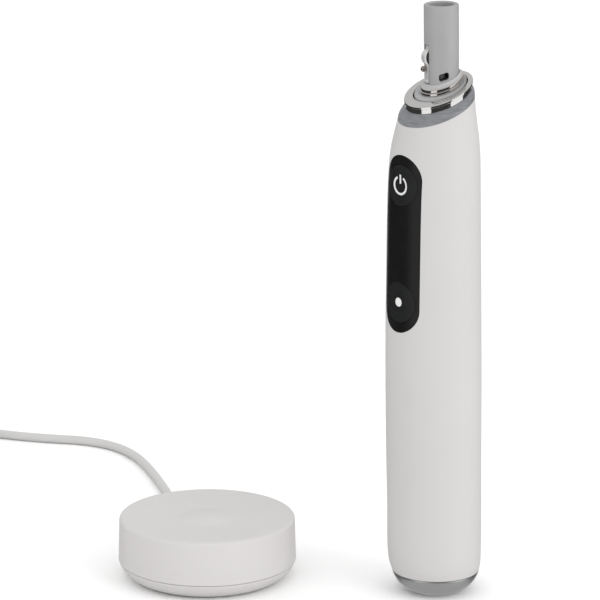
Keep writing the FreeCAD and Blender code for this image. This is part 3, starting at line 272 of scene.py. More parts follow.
last_part = (COIL_END - COIL_START) / (2 * math.pi)
turns = np.arange(0.0, 2 * COIL_TURNS + last_part, 1.0 / POINTS_A_TURN)
inward = np.minimum(stepped(turns), COIL_TURNS - 1)
outward = np.clip(stepped(turns - COIL_TURNS), 0, COIL_TURNS - 1)
winding_radius = COIL_OUTER - CORD_DIAMETER * (inward - np.where(turns > COIL_TURNS, outward, 0))
climb = np.clip((turns - COIL_TURNS + STEP) / STEP, 0.0, 1.0)
winding_height = COIL_LEVELS[0] + (COIL_LEVELS[1] - COIL_LEVELS[0]) * climb
winding_angle = COIL_START + 2 * math.pi * turns
winding = np.stack([COIL_CENTRE[0] + winding_radius * np.cos(winding_angle),
                    COIL_CENTRE[1] + winding_radius * np.sin(winding_angle), winding_height], axis=1)
route = np.concatenate([np.array(MAIN_ROUTE), winding, np.array(PLUG_ROUTE)]) * MM

lead_curve = bpy.data.curves.new("power_lead", "CURVE")
lead_curve.dimensions = "3D"
lead_curve.bevel_depth = CORD_DIAMETER / 2 * MM
lead_curve.bevel_resolution = 5
lead_curve.resolution_u = 5
lead_curve.use_fill_caps = True
line = lead_curve.splines.new("NURBS")
line.points.add(len(route) - 1)
line.points.foreach_set("co", np.column_stack([route, np.ones(len(route))]).ravel())
line.order_u = 3
line.use_endpoint_u = True
power_lead = bpy.data.objects.new("power_lead", lead_curve)
collection.objects.link(power_lead)

vinyl, shader, place = new_finish("soft_vinyl", Specular_IOR_Level=0.4)
smudge = place.grain(90.0, 3.0)
feed(shader, Base_Color=smudge.blended((0.545, 0.54, 0.53), (0.595, 0.59, 0.58)),
     Roughness=0.42 + smudge * 0.16, Normal=place.grain(2600.0, 2.0).bumped(0.00002, 0.5))
lead_curve.materials.append(vinyl)
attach(power_lead, "charger")
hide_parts("power_cord", "plug_lead", "cord_coil")


# ---------------------------------------------------------------------------
# Strain relief: a tapered vinyl sleeve moulded on the lead, with a collar held
# inside the charger's wall and five grooves that let it bend.
def eased(corners, steps=5):
    """Outline through corners, each (place..., rounding): at every corner an arc of that radius, tangent
    to both sides, swung about its centre on the corner's bisector, with one more point beyond each end."""
    corners = np.asarray(corners, float)
    points, radius = corners[:, :-1], corners[:, -1:]
    before = np.roll(points, 1, axis=0) - points
    after = np.roll(points, -1, axis=0) - points
    shortest = np.minimum(np.linalg.norm(before, axis=1), np.linalg.norm(after, axis=1))[:, None]
    before /= np.linalg.norm(before, axis=1, keepdims=True)
    after /= np.linalg.norm(after, axis=1, keepdims=True)
    half_angle = 0.5 * np.arccos(np.clip((before * after).sum(axis=1, keepdims=True), -0.999999, 0.999999))
    cut = np.minimum(radius / np.tan(half_angle), 0.38 * shortest)
    bisector = before + after
    bisector /= np.maximum(np.linalg.norm(bisector, axis=1, keepdims=True), 1e-9)
    centre = points + bisector * cut / np.cos(half_angle)
    sweep = math.pi - 2 * half_angle
    share = np.linspace(0.0, 1.0, steps + 1)[None, :, None]
    first = (points + before * cut - centre)[:, None, :]
    second = (points + after * cut - centre)[:, None, :]
    swing = np.maximum(np.sin(sweep), 1e-6)[:, None, :]
    arc = centre[:, None, :] + (np.sin((1 - share) * sweep[:, None, :]) * first
                                + np.sin(share * sweep[:, None, :]) * second) / swing
    beyond = cut * 0.25
    rows = np.concatenate([(points + before * (cut + beyond))[:, None, :], arc,
                           (points + after * (cut + beyond))[:, None, :]], axis=1)
    return rows.reshape(-1, points.shape[1])


def turned(outline, sides=160, slope=0.0):
    """Outline of (radius, height, forward) rows carried once round the upright axis: x is radius times
    the sine, y is the cosine the other way less forward, and height rises with y by slope."""
    angle = np.linspace(0.0, 2 * math.pi, sides, endpoint=False)[None, :]
    radius, height, forward = (column[:, None] for column in outline.T)
    x = radius * np.sin(angle)
    y = -forward - radius * np.cos(angle)
    return np.stack([x, y, height + slope * y + 0 * x], axis=2)


def upright(outline):
    """The same outline with no forward offset."""
    return np.column_stack([outline, np.zeros(len(outline))])


def grid_piece(name, grid, finish, body, ring_rows=False, ring_columns=True):
    """Closed piece from a grid of points in millimetres: four-sided faces between neighbours, the last
    line joined to the first where it is a ring, doubled points merged and all faces turned outwards."""
    rows, columns = grid.shape[:2]
    row = np.arange(rows if ring_rows else rows - 1)[:, None]
    column = np.arange(columns if ring_columns else columns - 1)[None, :]
    next_row = (row + 1) % rows
    next_column = (column + 1) % columns
    corners = [row * columns + column, row * columns + next_column,
               next_row * columns + next_column, next_row * columns + column]
    faces = np.stack(corners, axis=2).reshape(-1, 4)
    mesh = bpy.data.meshes.new(name)
    mesh.from_pydata((grid.reshape(-1, 3) * MM).tolist(), [], faces.tolist())
    work = bmesh.new()
    work.from_mesh(mesh)
    bmesh.ops.remove_doubles(work, verts=work.verts, dist=2e-7)
    bmesh.ops.dissolve_degenerate(work, edges=work.edges, dist=1e-7)
    bmesh.ops.recalc_face_normals(work, faces=work.faces)
    work.to_mesh(mesh)
    work.free()
    mesh.shade_smooth()
    mesh.materials.append(finish)
    piece = bpy.data.objects.new(name, mesh)
    collection.objects.link(piece)
    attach(piece, body)
    return piece


shell_low, shell_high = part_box("charger_shell")
puck_axis = np.array([(shell_low.x + shell_high.x) / 2, (shell_low.y + shell_high.y) / 2, 0.0]) / MM
EXIT_TURN = math.radians(100.5)
EXIT_HEIGHT = 3.3
RELIEF_ROOT = 23.7         # from the charger's axis
RELIEF_TIP = 44.2
RELIEF_RADIUS = 2.6        # at the root
RELIEF_TAPER = 0.7         # lost from root to tip
HELD_RADIUS = 2.65         # collar inside the wall
HELD_FROM = 22.7
HELD_TO = 23.9
GROOVES = 5
FIRST_GROOVE = 30.2
GROOVE_PITCH = 2.3
GROOVE_DEPTH = 0.45
GROOVE_ROUNDING = 0.15
exit_way = np.array([math.cos(EXIT_TURN), math.sin(EXIT_TURN), 0.0])
exit_side = np.array([-exit_way[1], exit_way[0], 0.0])
upward = np.array([0.0, 0.0, 1.0])
bore = CORD_DIAMETER / 2 + 0.01
relief_corners = [(bore, HELD_FROM, 0.05), (HELD_RADIUS, HELD_FROM, 0.1), (HELD_RADIUS, HELD_TO, 0.05),
                  (RELIEF_RADIUS, HELD_TO + 0.1, 0.05)]
for index in range(GROOVES):
    start = FIRST_GROOVE + GROOVE_PITCH * index
    taper = RELIEF_RADIUS - RELIEF_TAPER * (start - RELIEF_ROOT) / (RELIEF_TIP - RELIEF_ROOT)
    relief_corners += [(taper, start, GROOVE_ROUNDING),
                       (taper - GROOVE_DEPTH + 0.03, start + 0.15, GROOVE_ROUNDING),
                       (taper - GROOVE_DEPTH, start + 0.85, GROOVE_ROUNDING),
                       (taper - 0.05, start + 1.0, GROOVE_ROUNDING)]
relief_corners += [(RELIEF_RADIUS - RELIEF_TAPER, RELIEF_TIP, 0.2), (bore, RELIEF_TIP, 0.05)]
round_axis = turned(upright(eased(relief_corners)), 48)
relief_grid = (puck_axis + EXIT_HEIGHT * upward + round_axis[..., 0:1] * exit_side
               + round_axis[..., 1:2] * upward + round_axis[..., 2:3] * exit_way)
relief = grid_piece("lead_strain_relief", relief_grid, vinyl, "charger", ring_rows=True)
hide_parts("strain_relief")

# ---------------------------------------------------------------------------
# Plug: a flat two-pin plug moulded on the lead. Its soft boot swells from the
# cord into a slim wide body; the pins are nickel-plated and stand in its face.
plug_low, plug_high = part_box("plug_body")
plug_middle = (plug_low.x + plug_high.x) / 2 / MM
PLUG_ENTRY = 102.0
PLUG_REACH = 46.0
PLUG_HALF_WIDTH = 17.65
PLUG_HALF_THICKNESS = 6.85
BOOT_RADIUS = 2.3
WIDENS_FROM = 9.0          # distances from the lead's end of the plug
WIDENS_OVER = 17.0
THICKENS_OVER = 20.0
FACE_ROUNDING = 1.4
FACE_DROP = 0.19           # how far the squared size falls at the very end
PLUG_RINGS = 60
FACE_RINGS = 8
PLUG_SIDES = 72
along = np.concatenate([np.linspace(0.0, 1.0, PLUG_RINGS), np.ones(FACE_RINGS)])[:, None]
distance = along * PLUG_REACH
swell = smooth((distance - WIDENS_FROM) / WIDENS_OVER)
thick = smooth(distance / THICKENS_OVER)
closing = np.concatenate([np.ones(PLUG_RINGS), np.linspace(0.97, 0.0, FACE_RINGS)])[:, None]
around = np.linspace(0.0, 2 * math.pi, PLUG_SIDES, endpoint=False)[None, :]
square = 1.0 - 0.5 * swell  # power of sine and cosine: 1 in the round boot, 0.5 in the squarish body
near_face = np.clip((distance - PLUG_REACH + FACE_ROUNDING) / FACE_ROUNDING, 0.0, 1.0)
end_round = np.sqrt(1.0 - near_face ** 2 * FACE_DROP)
half_wide = (BOOT_RADIUS + (PLUG_HALF_WIDTH - BOOT_RADIUS) * swell) * closing * end_round
half_thick = (BOOT_RADIUS + (PLUG_HALF_THICKNESS - BOOT_RADIUS) * thick) * closing * end_round
cosine = np.cos(around)
sine = np.sin(around)
plug_x = plug_middle + half_wide * np.sign(cosine) * np.abs(cosine) ** square
plug_z = PLUG_HALF_THICKNESS + half_thick * np.sign(sine) * np.abs(sine) ** square
plug_y = PLUG_ENTRY - distance + 0 * cosine
start_cap = np.ones((1, PLUG_SIDES, 1)) * [plug_middle, PLUG_ENTRY, PLUG_HALF_THICKNESS]
plug_grid = np.concatenate([start_cap, np.stack([plug_x, plug_y, plug_z], axis=2)])
plug_plastic, shader, place = new_finish("plug_plastic", Specular_IOR_Level=0.45)
mottle = place.grain(60.0, 3.0)
feed(shader, Base_Color=mottle.blended((0.60, 0.60, 0.59), (0.66, 0.66, 0.65)),
     Roughness=0.4 + place.grain(900.0) * 0.14, Normal=place.grain(3200.0).bumped(0.00002, 0.5))
plug = grid_piece("mains_plug", plug_grid, plug_plastic, "charger")
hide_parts("plug_body")


def dress(finish, *names):
    """Gives kept pieces of the frame their finish."""
    for name in names:
        nodes[name].data.materials.clear()
        nodes[name].data.materials.append(finish)


nickel, shader, place = new_finish("nickel_plate", Metallic=1.0)
feed(shader, Base_Color=place.grain(300.0).blended((0.68, 0.65, 0.60), (0.74, 0.71, 0.66)),
     Roughness=0.16 + place.grain(1500.0) * 0.14)
dress(nickel, "plug_pins")

# ---------------------------------------------------------------------------
# Cord tie: a soft woven strap, wrapped once round the coil and closed on itself.
# With it on, the lead is whole.
THREADS = 5200.0           # radians of weave to the metre
SHELL_RADIUS = 29.2        # of the charger's wall, at its foot
strap, shader, place = new_finish("woven_strap", Roughness=0.85, Sheen_Weight=0.25)
thread = (place.part_of(0) * THREADS).wave() * (place.part_of(1) * THREADS).wave() * 0.5 + 0.5
feed(shader, Base_Color=thread.blended((0.58, 0.58, 0.57), (0.74, 0.74, 0.73)),
     Normal=thread.bumped(0.0001, 0.6))
dress(strap, "cord_tie")

# ---------------------------------------------------------------------------
# Charger base: a moulded white tray with a rounded flank, a rim that stands up
# inside the shell, and a groove below for its rubber foot.
def white_plastic(name, low, high):
    """Satin white moulding: faint clouding, a fine tooth, soft rubbed patches and a few hairline scuffs."""
    finish, shader, place = new_finish(name, Specular_IOR_Level=0.2)
    clouding = place.grain(28.0, 3.0, 0.6)
    tooth = place.grain(5200.0, 2.0)
    scuff = place.hairlines(0.7) * (place.grain(55.0, 2.0) > 0.52)
    feed(shader, Base_Color=clouding.blended(low, high), Normal=tooth.bumped(0.000008, 0.5),
         Roughness=0.38 + place.grain(420.0, 3.0) * 0.12 + tooth * 0.04 - scuff * 0.10)
    return finish


puck_white = white_plastic("charger_white", (0.58, 0.565, 0.558), (0.615, 0.599, 0.592))


def bowed(start, end, bulge, count=14):
    """Points from start to end on a parabola that stands bulge away from the chord, to its right."""
    start = np.array(start)
    end = np.array(end)
    share = np.linspace(0.0, 1.0, count)[:, None]
    chord = end - start
    right = np.array([chord[1], -chord[0]]) / np.linalg.norm(chord)
    points = start + chord * share + right * 4 * bulge * share * (1 - share)
    return [(*point, 0.0) for point in points]


TRAY_LIFT = 0.35           # what the foot holds it off the table
TRAY_FLOOR = 2.35
TRAY_RADIUS = 29.0         # at its seam with the shell
SEAM = 5.68
FLANK_BULGE = 0.9
GROOVE_INNER = 19.94       # the groove for the foot
GROOVE_OUTER = 22.66
GROOVE_ROOF = 1.45
WELL_RADIUS = 22.5
WELL_TOP = 5.08
RIM_RADIUS = 26.94
RIM_INNER = 25.64
RIM_TOP = 9.0
base_corners = [(0.0, TRAY_LIFT, 0.0), (GROOVE_INNER, TRAY_LIFT, 0.1), (GROOVE_INNER, GROOVE_ROOF, 0.1),
                (GROOVE_OUTER, GROOVE_ROOF, 0.1), (GROOVE_OUTER, TRAY_LIFT, 0.1)]
base_corners += bowed((23.5, TRAY_LIFT), (TRAY_RADIUS + 0.02, SEAM - 0.18), FLANK_BULGE)
base_corners += [(TRAY_RADIUS, SEAM, 0.05), (RIM_RADIUS, SEAM, 0.1), (RIM_RADIUS, RIM_TOP, 0.3),
                 (RIM_INNER, RIM_TOP, 0.3), (RIM_INNER, WELL_TOP, 0.2), (WELL_RADIUS, WELL_TOP, 0.3),
                 (WELL_RADIUS, TRAY_FLOOR, 0.3), (0.0, TRAY_FLOOR, 0.0)]
base_grid = turned(upright(eased(base_corners)), 192) + puck_axis
charger_tray = grid_piece("charger_tray", base_grid, puck_white, "charger")
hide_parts("charger_base")

# ---------------------------------------------------------------------------
# Foot: a soft grey rubber ring with rounded edges. It is pressed into the
# tray's groove and keeps the charger from sliding.
FOOT_INNER = 20.0
FOOT_OUTER = 22.6
FOOT_HEIGHT = 1.35
rubber, shader, place = new_finish("foot_rubber", Specular_IOR_Level=0.3)
dust = place.grain(160.0, 4.0)
feed(shader, Base_Color=dust.blended((0.30, 0.30, 0.30), (0.38, 0.38, 0.375)),
     Roughness=0.72 + dust * 0.2, Normal=place.grain(2400.0, 3.0).bumped(0.00004, 0.6))
foot_outline = eased([(FOOT_INNER, 0.0, 0.35), (FOOT_OUTER, 0.0, 0.35),
                      (FOOT_OUTER, FOOT_HEIGHT, 0.15), (FOOT_INNER, FOOT_HEIGHT, 0.15)])
foot_grid = turned(upright(foot_outline)) + puck_axis
foot = grid_piece("charger_foot_ring", foot_grid, rubber, "charger", ring_rows=True)
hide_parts("foot_ring")

# ---------------------------------------------------------------------------
# Charger shell: one white moulding with a slightly drafted wall and a softly
# rounded edge. Its top dips very slightly and rises in a low central dome,
# over which the handle's foot sits.
SHELL_TOP_RADIUS = 28.8
SHELL_TOP = 20.3
SHELL_FOOT = 5.8
SHELL_EDGE = 2.2           # rounding of the top edge
SHELL_INNER = 27.0
SHELL_CEILING = 17.8
DOME_RADIUS = 8.8
DOME_RISE = 1.1
DISH_FLOOR = 19.6
DISH_RADIUS = 26.0
DISH_RISE = 0.68
reach = np.linspace(0.0, 1.0, 14)
dome = [(DOME_RADIUS * r, DISH_FLOOR + DOME_RISE * (1.0 - r * r), 0.0) for r in reach]
dish = [(DOME_RADIUS + (DISH_RADIUS - DOME_RADIUS) * r, DISH_FLOOR + DISH_RISE * r ** 1.7, 0.0)
        for r in reach[1:]]
shell_corners = dome + dish + [(SHELL_TOP_RADIUS, SHELL_TOP, SHELL_EDGE), (SHELL_RADIUS, SHELL_FOOT, 0.3),
                               (SHELL_INNER, SHELL_FOOT, 0.1), (SHELL_INNER, SHELL_CEILING, 0.6),
                               (0.0, SHELL_CEILING, 0.0)]
shell_grid = turned(upright(eased(shell_corners, 9)), 224) + puck_axis
charger_cover = grid_piece("charger_cover", shell_grid, puck_white, "charger")
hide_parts("charger_shell")

# ---------------------------------------------------------------------------
# Inside the charger: an enamelled copper winding in a ferrite cup round a
# plated magnet, on a round board that stands on three posts.
STRANDS = 9000.0           # radians of winding to the metre
copper, shader, place = new_finish("enamelled_copper", Metallic=0.85, Coat_Weight=0.4, Coat_Roughness=0.12)
strand = (place.part_of(2) * STRANDS).wave() * 0.5 + 0.5
feed(shader, Base_Color=strand.blended((0.40, 0.16, 0.07), (0.78, 0.38, 0.18)),
     Roughness=0.28 + place.grain(600.0) * 0.12, Normal=strand.bumped(0.00012, 0.7))
dress(copper, "primary_coil", "receiver_coil", "motor_coil")

ferrite, shader, place = new_finish("sintered_ferrite", Metallic=0.15)
speck = place.grain(3200.0, 4.0, 0.7)
feed(shader, Base_Color=speck.blended((0.030, 0.030, 0.034), (0.075, 0.075, 0.08)),
     Roughness=0.5 + speck * 0.3, Normal=speck.bumped(0.00005, 0.6))
dress(ferrite, "pot_core", "receiver_ferrite")

plated, shader, place = new_finish("plated_magnet", Metallic=1.0)
feed(shader, Base_Color=place.grain(240.0).blended((0.52, 0.52, 0.54), (0.62, 0.62, 0.64)),
     Roughness=0.14 + place.grain(1100.0, 3.0) * 0.2)
dress(plated, "charger_magnet", "shaft_magnet", "armature_magnet")

lacquer, shader, place = new_finish("board_lacquer", Coat_Weight=0.3, Coat_Roughness=0.2)
cells = place.node("TexVoronoi", {"distance": "CHEBYCHEV"}, {"Vector": place, "Scale": 620.0})
tracks = cells > 0.34
feed(shader, Base_Color=tracks.blended((0.010, 0.085, 0.040), (0.022, 0.16, 0.075)),
     Roughness=0.4 - tracks * 0.1, Normal=tracks.bumped(0.00003, 0.5))
dress(lacquer, "main_board", "charger_board")

# ---------------------------------------------------------------------------
# Handle base: a satin metal cap with a rounded flank, a dimple below that sits
# on the charger's dome, and a spigot with its sealing ring inside the housing.
cap_low, cap_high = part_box("base_cap")
handle_axis = np.array([(cap_low.x + cap_high.x) / 2, (cap_low.y + cap_high.y) / 2, 0.0]) / MM
HANDLE_TURN = math.radians(-50.0)


def in_handle(grid):
    """Points of the handle's own frame, whose front is -Y, turned with the handle and set on its axis."""
    cosine, sine = math.cos(HANDLE_TURN), math.sin(HANDLE_TURN)
    x, y, z = grid[..., 0], grid[..., 1], grid[..., 2]
    return np.stack([x * cosine - y * sine, x * sine + y * cosine, z], axis=-1) + handle_axis


satin, shader, place = new_finish("satin_metal", Metallic=0.9)
lines = place.stretched((60.0, 60.0, 9000.0)).grain(1.0, 3.0)
feed(shader, Base_Color=lines.blended((0.51, 0.51, 0.513), (0.59, 0.59, 0.593)),
     Roughness=0.24 + lines * 0.10 + place.grain(180.0, 3.0) * 0.08, Normal=lines.bumped(0.00001, 0.4))
CAP_TOP = 6.88             # the seam with the housing
SEAM_RADIUS = 14.09
CAP_BULGE = 1.3
DIMPLE_RADIUS = 6.1
DIMPLE_DEPTH = 1.3
STANDS_ON = 7.1            # outer radius of the ring that touches the table
SPIGOT = 12.03
SPIGOT_TOP = CAP_TOP + 4.3
SPIGOT_INNER = SPIGOT - 1.2
SEAL_FROM = CAP_TOP + 1.72
SEAL_TO = CAP_TOP + 3.12
SEAL_FLOOR = SPIGOT - 0.7
CAP_LEDGE = 3.6
CAP_WELL = 8.7
CAP_FLOOR = 2.2
cap_corners = [(DIMPLE_RADIUS * r, DIMPLE_DEPTH * (1.0 - r * r), 0.0) for r in np.linspace(0.0, 0.96, 10)]
cap_corners += [(DIMPLE_RADIUS + 0.05, 0.0, 0.2), (STANDS_ON, 0.0, 0.3)]
cap_corners += bowed((STANDS_ON + 0.2, 0.09), (SEAM_RADIUS - 0.02, CAP_TOP - 0.38), CAP_BULGE, 18)
cap_corners += [(SEAM_RADIUS, CAP_TOP, 0.08), (SPIGOT, CAP_TOP, 0.05), (SPIGOT, SEAL_FROM, 0.05),
                (SEAL_FLOOR, SEAL_FROM, 0.05), (SEAL_FLOOR, SEAL_TO, 0.05), (SPIGOT, SEAL_TO, 0.05),
                (SPIGOT, SPIGOT_TOP, 0.2), (SPIGOT_INNER, SPIGOT_TOP, 0.2), (SPIGOT_INNER, CAP_LEDGE, 0.3),
                (CAP_WELL, CAP_LEDGE, 0.1), (CAP_WELL, CAP_FLOOR, 0.3), (0.0, CAP_FLOOR, 0.0)]
cap_grid = in_handle(turned(upright(eased(cap_corners)), 192))
base_cap = grid_piece("handle_base_cap", cap_grid, satin, "handle")
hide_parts("base_cap")

seal, shader, place = new_finish("seal_rubber", Specular_IOR_Level=0.35)
feed(shader, Base_Color=place.grain(200.0).blended((0.020, 0.020, 0.022), (0.036, 0.036, 0.038)),
     Roughness=0.5 + place.grain(1800.0) * 0.25)
dress(seal, "base_seal", "shaft_seal")

# ---------------------------------------------------------------------------
# Housing: one tall white moulding, round and a little fuller at mid height. It
# narrows to a slanted top and has a shallow pocket for the control panel.
dress(white_plastic("housing_white", (0.53, 0.521, 0.514), (0.57, 0.561, 0.554)), "handle_housing")

# ---------------------------------------------------------------------------
# Control panel: a glossy black inlay flush with the housing, with two round
# dished keys. The upper key has a pale power sign, the lower one a pale dot.
gloss_black, shader, place = new_finish("black_inlay", Specular_IOR_Level=0.22)
haze = place.grain(150.0, 4.0, 0.6)
feed(shader, Base_Color=haze.blended((0.006, 0.006, 0.0065), (0.0095, 0.0095, 0.010)),
     Roughness=0.26 + haze * 0.12 + place.hairlines(0.71) * 0.15)
dress(gloss_black, "control_panel")
INLAY_ROUNDING = 0.16
INLAY_SHARPEST = math.radians(50)
rim = nodes["control_panel"].modifiers.new("rim", "BEVEL")
rim.width = INLAY_ROUNDING * MM
rim.segments = 2
rim.limit_method = "ANGLE"
rim.angle_limit = INLAY_SHARPEST

satin_black, shader, place = new_finish("black_keys", Specular_IOR_Level=0.2)
haze = place.grain(260.0, 3.0)
feed(shader, Base_Color=haze.blended((0.011, 0.0115, 0.0118), (0.016, 0.0165, 0.017)),
     Roughness=0.42 + haze * 0.12, Normal=place.grain(5000.0).bumped(0.000008, 0.5))
dress(satin_black, "power_button", "mode_button")

DISH_RIM = 5.9
DISH_DEPTH = 0.35
PRINT = 0.03               # how far the pale print stands out
SUNK = 0.01                # and how far it goes in
dish_ball = DISH_RIM ** 2 / (2 * DISH_DEPTH)
POWER_LEVEL = 137.2
MODE_LEVEL = 99.4
POWER_FRONT = -16.83       # front line of the housing behind each key's middle
MODE_FRONT = -17.28
printed, shader, place = new_finish("pale_print", Specular_IOR_Level=0.3)
feed(shader, Base_Color=place.grain(700.0).blended((0.70, 0.70, 0.69), (0.78, 0.78, 0.77)),
     Roughness=0.55 + place.grain(2500.0) * 0.2)


def print_on_key(name, across, up, front, level, body):
    """Thin closed print on a key's dish: a grid of places across and up, laid on the ball of the dish,
    once a little inside its surface and once a little outside."""
    surface = front - dish_ball + DISH_DEPTH + np.sqrt(dish_ball ** 2 - across ** 2 - up ** 2)
    under = np.stack([across, surface + SUNK, level + up], axis=2)
    over = np.stack([across, surface - PRINT, level + up], axis=2)
    grid = np.concatenate([under, over[::-1]])
    piece = grid_piece(name, in_handle(grid), printed, body, ring_rows=True, ring_columns=False)
    return piece


def close_ends(piece):
    """Fills the open ends of a strip."""
    work = bmesh.new()
    work.from_mesh(piece.data)
    bmesh.ops.holes_fill(work, edges=work.edges)
    bmesh.ops.recalc_face_normals(work, faces=work.faces)
    work.to_mesh(piece.data)
    work.free()


SIGN_RADIUS = 2.75
STROKE = 0.36              # half the width of the sign's line
SIGN_GAP = math.radians(28)
BAR_FROM = 0.55            # above the ring's middle
BAR_TO = SIGN_RADIUS + 0.75
stroke = STROKE * np.array([[-1.0], [0.0], [1.0]])
sweep_angle = np.linspace(SIGN_GAP, 2 * math.pi - SIGN_GAP, 72)
ring_x = (SIGN_RADIUS + stroke) * np.sin(sweep_angle)
ring_z = (SIGN_RADIUS + stroke) * np.cos(sweep_angle)
close_ends(print_on_key("power_sign_ring", ring_x, ring_z, POWER_FRONT, POWER_LEVEL, "power_key"))
bar_x = stroke + np.zeros(12)
bar_z = np.linspace(BAR_FROM, BAR_TO, 12) + np.zeros((3, 1))
close_ends(print_on_key("power_sign_bar", bar_x, bar_z, POWER_FRONT, POWER_LEVEL, "power_key"))
DOT_RADIUS = 1.45
dot_radius = np.linspace(0.0, DOT_RADIUS, 6)[:, None]
dot_angle = np.linspace(0.0, 2 * math.pi, 49)
print_on_key("mode_dot", dot_radius * np.sin(dot_angle), dot_radius * np.cos(dot_angle),
             MODE_FRONT, MODE_LEVEL, "mode_key")

# ---------------------------------------------------------------------------
# Light ring: a slanted satin grey band that leads from the housing in to the
# bezel. It glows through when the brush is pressed too hard.
ring_grey, shader, place = new_finish("ring_grey", Metallic=0.3, Specular_IOR_Level=0.5)
along_ring = place.stretched((260.0, 260.0, 2300.0), (math.radians(-14), math.radians(16), 0.0))
streak = along_ring.grain(1.0, 5.0, 0.65)
feed(shader, Base_Color=streak.blended((0.09, 0.094, 0.104), (0.37, 0.38, 0.402)),
     Roughness=0.26 + streak * 0.14, Normal=streak.bumped(0.00003, 0.6))
dress(ring_grey, "light_ring")

# ---------------------------------------------------------------------------
# Bezel: polished metal round the neck's opening. A plain band stands on the
# light ring, with a softly rounded lip on it and a thin spigot down inside.
SLOPE = math.tan(math.radians(21.5))
SPIGOT_BORE = 8.55
SPIGOT_RADIUS = 9.15
SPIGOT_LOW = 158.9
BAND_RADIUS = 10.42
BAND_LOW = 163.9
LIP_RADIUS = 10.85
LIP_LOW = 165.5
LIP_TOP = 166.5
FORWARD = 0.8              # the band and lip lie this much towards the front
chrome, shader, place = new_finish("polished_chrome", Metallic=1.0)
wipe = place.grain(420.0, 4.0, 0.6)
feed(shader, Base_Color=wipe.blended((0.76, 0.75, 0.735), (0.84, 0.83, 0.815)),
     Roughness=0.05 + wipe * 0.05 + place.hairlines(0.71) * 0.12)
bezel_corners = [(SPIGOT_RADIUS, SPIGOT_LOW, 0.0, 0.1), (SPIGOT_RADIUS, BAND_LOW - 0.04, 0.0, 0.05),
                 (BAND_RADIUS, BAND_LOW, FORWARD, 0.08), (BAND_RADIUS, LIP_LOW, FORWARD, 0.12),
                 (LIP_RADIUS, LIP_LOW, FORWARD, 0.3), (LIP_RADIUS, LIP_TOP, FORWARD, 0.5),
                 (SPIGOT_BORE, LIP_TOP, 0.0, 0.35), (SPIGOT_BORE, SPIGOT_LOW, 0.0, 0.1)]
bezel_grid = in_handle(turned(eased(bezel_corners, 7), 224, SLOPE))
bezel = grid_piece("neck_bezel", bezel_grid, chrome, "handle", ring_rows=True)
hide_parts("top_bezel")

# ---------------------------------------------------------------------------
# Neck: a light grey plate fills the bezel with a fine gap all round. On it sits
# a polished two-step collar that cones in, in grey, to the coupling sleeve.
plate_grey, shader, place = new_finish("plate_grey", Specular_IOR_Level=0.4)
cloud = place.grain(110.0, 3.0)
feed(shader, Base_Color=cloud.blended((0.36, 0.365, 0.37), (0.42, 0.425, 0.43)),
     Roughness=0.4 + cloud * 0.12, Normal=place.grain(3600.0).bumped(0.00001, 0.5))
dress(plate_grey, "neck_plate")

COLLAR_LOW = 166.72
COLLAR_FORWARD = -0.55     # it lies a little towards the back
COLLAR_BORE = 5.56
LOWER_STEP = 7.05
UPPER_STEP = 6.75
STEPS_MEET = 1.1           # heights above the collar's underside
CONE_START = 2.15
CONE_TOP = 3.1
collar_metal, shader, place = new_finish("collar_finish", Specular_IOR_Level=0.5)
backward = ((place.part_of(0) - float(handle_axis[0]) * MM) * -math.sin(HANDLE_TURN)
            + (place.part_of(1) - float(handle_axis[1]) * MM) * math.cos(HANDLE_TURN))
slant_height = place.part_of(2) - backward * SLOPE
plastic = slant_height > (COLLAR_LOW + CONE_START - 0.1) * MM
feed(shader, Metallic=1.0 - plastic, Roughness=0.05 + plastic * 0.36 + place.grain(500.0) * 0.04,
     Base_Color=plastic.blended((0.62, 0.59, 0.57), (0.42, 0.42, 0.42)))
collar_corners = [(COLLAR_BORE, 0.0, 0.02), (LOWER_STEP, 0.0, 0.45), (LOWER_STEP, STEPS_MEET, 0.45),
                  (UPPER_STEP - 0.25, STEPS_MEET - 0.06, 0.08), (UPPER_STEP, STEPS_MEET + 0.06, 0.2),
                  (UPPER_STEP, CONE_START - 0.1, 0.4), (6.1, CONE_START + 0.15, 0.2),
                  (COLLAR_BORE + 0.1, CONE_TOP, 0.1), (COLLAR_BORE, CONE_TOP, 0.02)]
collar_outline = upright(eased(collar_corners, 6)) + [0.0, COLLAR_LOW, COLLAR_FORWARD]
collar_grid = in_handle(turned(collar_outline, 192, SLOPE))
collar = grid_piece("neck_collar_ring", collar_grid, collar_metal, "drive", ring_rows=True)
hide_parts("neck_collar")

# ---------------------------------------------------------------------------
# Coupling sleeve: an open grey tube that the brush head slides over, with a
# chamfered mouth, two sheared windows and an upright slot for the latch.
sleeve_grey, shader, place = new_finish("sleeve_grey", Specular_IOR_Level=0.5)
cloud = place.grain(130.0, 3.0)
feed(shader, Base_Color=cloud.blended((0.30, 0.30, 0.302), (0.35, 0.35, 0.352)),
     Roughness=0.38 + cloud * 0.12, Normal=place.grain(3600.0).bumped(0.00001, 0.5))
dress(sleeve_grey, "coupling_sleeve")

# ---------------------------------------------------------------------------
# Latch: a bent strip of satin spring steel with a rolled foot, and a polished
# ball on a pin through it that clicks into the brush head.
spring_steel, shader, place = new_finish("spring_steel", Metallic=0.55)
feed(shader, Base_Color=place.grain(900.0, 3.0).blended((0.70, 0.70, 0.69), (0.80, 0.80, 0.79)),
     Roughness=0.34 + place.grain(2400.0) * 0.14)
dress(spring_steel, "latch_spring", "lower_spring", "upper_spring", "retention_disc", "battery_tabs")
ball_metal, shader, place = new_finish("dark_polished_steel", Metallic=1.0)
feed(shader, Base_Color=place.grain(800.0).blended((0.30, 0.28, 0.265), (0.40, 0.375, 0.355)),
     Roughness=0.08 + place.grain(1600.0, 3.0) * 0.08)
dress(ball_metal, "latch_pin")

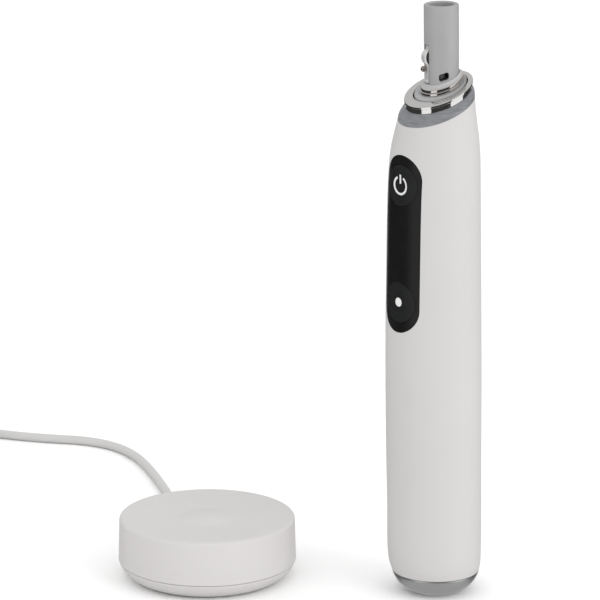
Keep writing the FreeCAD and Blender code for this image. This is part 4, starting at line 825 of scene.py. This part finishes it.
# ---------------------------------------------------------------------------
# Drive: a linear motor in a turned steel case that hangs on two pins, so that
# it leans back under pressure. Its shaft runs up through a seal in the sleeve.
steel, shader, place = new_finish("turned_steel", Metallic=1.0)
rings = place.stretched((40.0, 40.0, 7000.0)).grain(1.0, 2.0)
feed(shader, Base_Color=rings.blended((0.50, 0.50, 0.51), (0.64, 0.64, 0.65)),
     Roughness=0.22 + rings * 0.16, Normal=rings.bumped(0.00001, 0.5))
dress(steel, "drive_shaft", "armature_yokes", "motor_case", "tilt_pins", "board_screws")

# ---------------------------------------------------------------------------
# Inside the handle: a grey moulded chassis carries the board, with its keys'
# switches, display, chips and ring lamps, and the lithium cell.
moulding, shader, place = new_finish("chassis_moulding", Specular_IOR_Level=0.4)
cloud = place.grain(70.0, 3.0)
feed(shader, Base_Color=cloud.blended((0.42, 0.43, 0.45), (0.50, 0.51, 0.53)),
     Roughness=0.5 + cloud * 0.15, Normal=place.grain(2800.0).bumped(0.00002, 0.5))
dress(moulding, "chassis", "motor_end_cap")

resin, shader, place = new_finish("chip_resin", Specular_IOR_Level=0.4)
speck = place.grain(6000.0, 2.0)
feed(shader, Base_Color=speck.blended((0.012, 0.012, 0.013), (0.026, 0.026, 0.028)),
     Roughness=0.5 + speck * 0.2, Normal=speck.bumped(0.00001, 0.6))
dress(resin, "board_chips", "display_module", "tact_switches")

lens, shader, place = new_finish("lamp_lens", Coat_Weight=0.5, Coat_Roughness=0.08)
feed(shader, Base_Color=place.grain(900.0).blended((0.74, 0.72, 0.62), (0.86, 0.85, 0.78)),
     Roughness=0.2 + place.grain(1800.0) * 0.1)
dress(lens, "ring_lights")

film, shader, place = new_finish("cell_film", Coat_Weight=0.3, Coat_Roughness=0.15)
crease = place.stretched((300.0, 300.0, 60.0)).grain(1.0, 4.0)
feed(shader, Base_Color=crease.blended((0.020, 0.085, 0.22), (0.035, 0.12, 0.30)),
     Roughness=0.25 + crease * 0.15, Normal=crease.bumped(0.00004, 0.5))
dress(film, "battery")
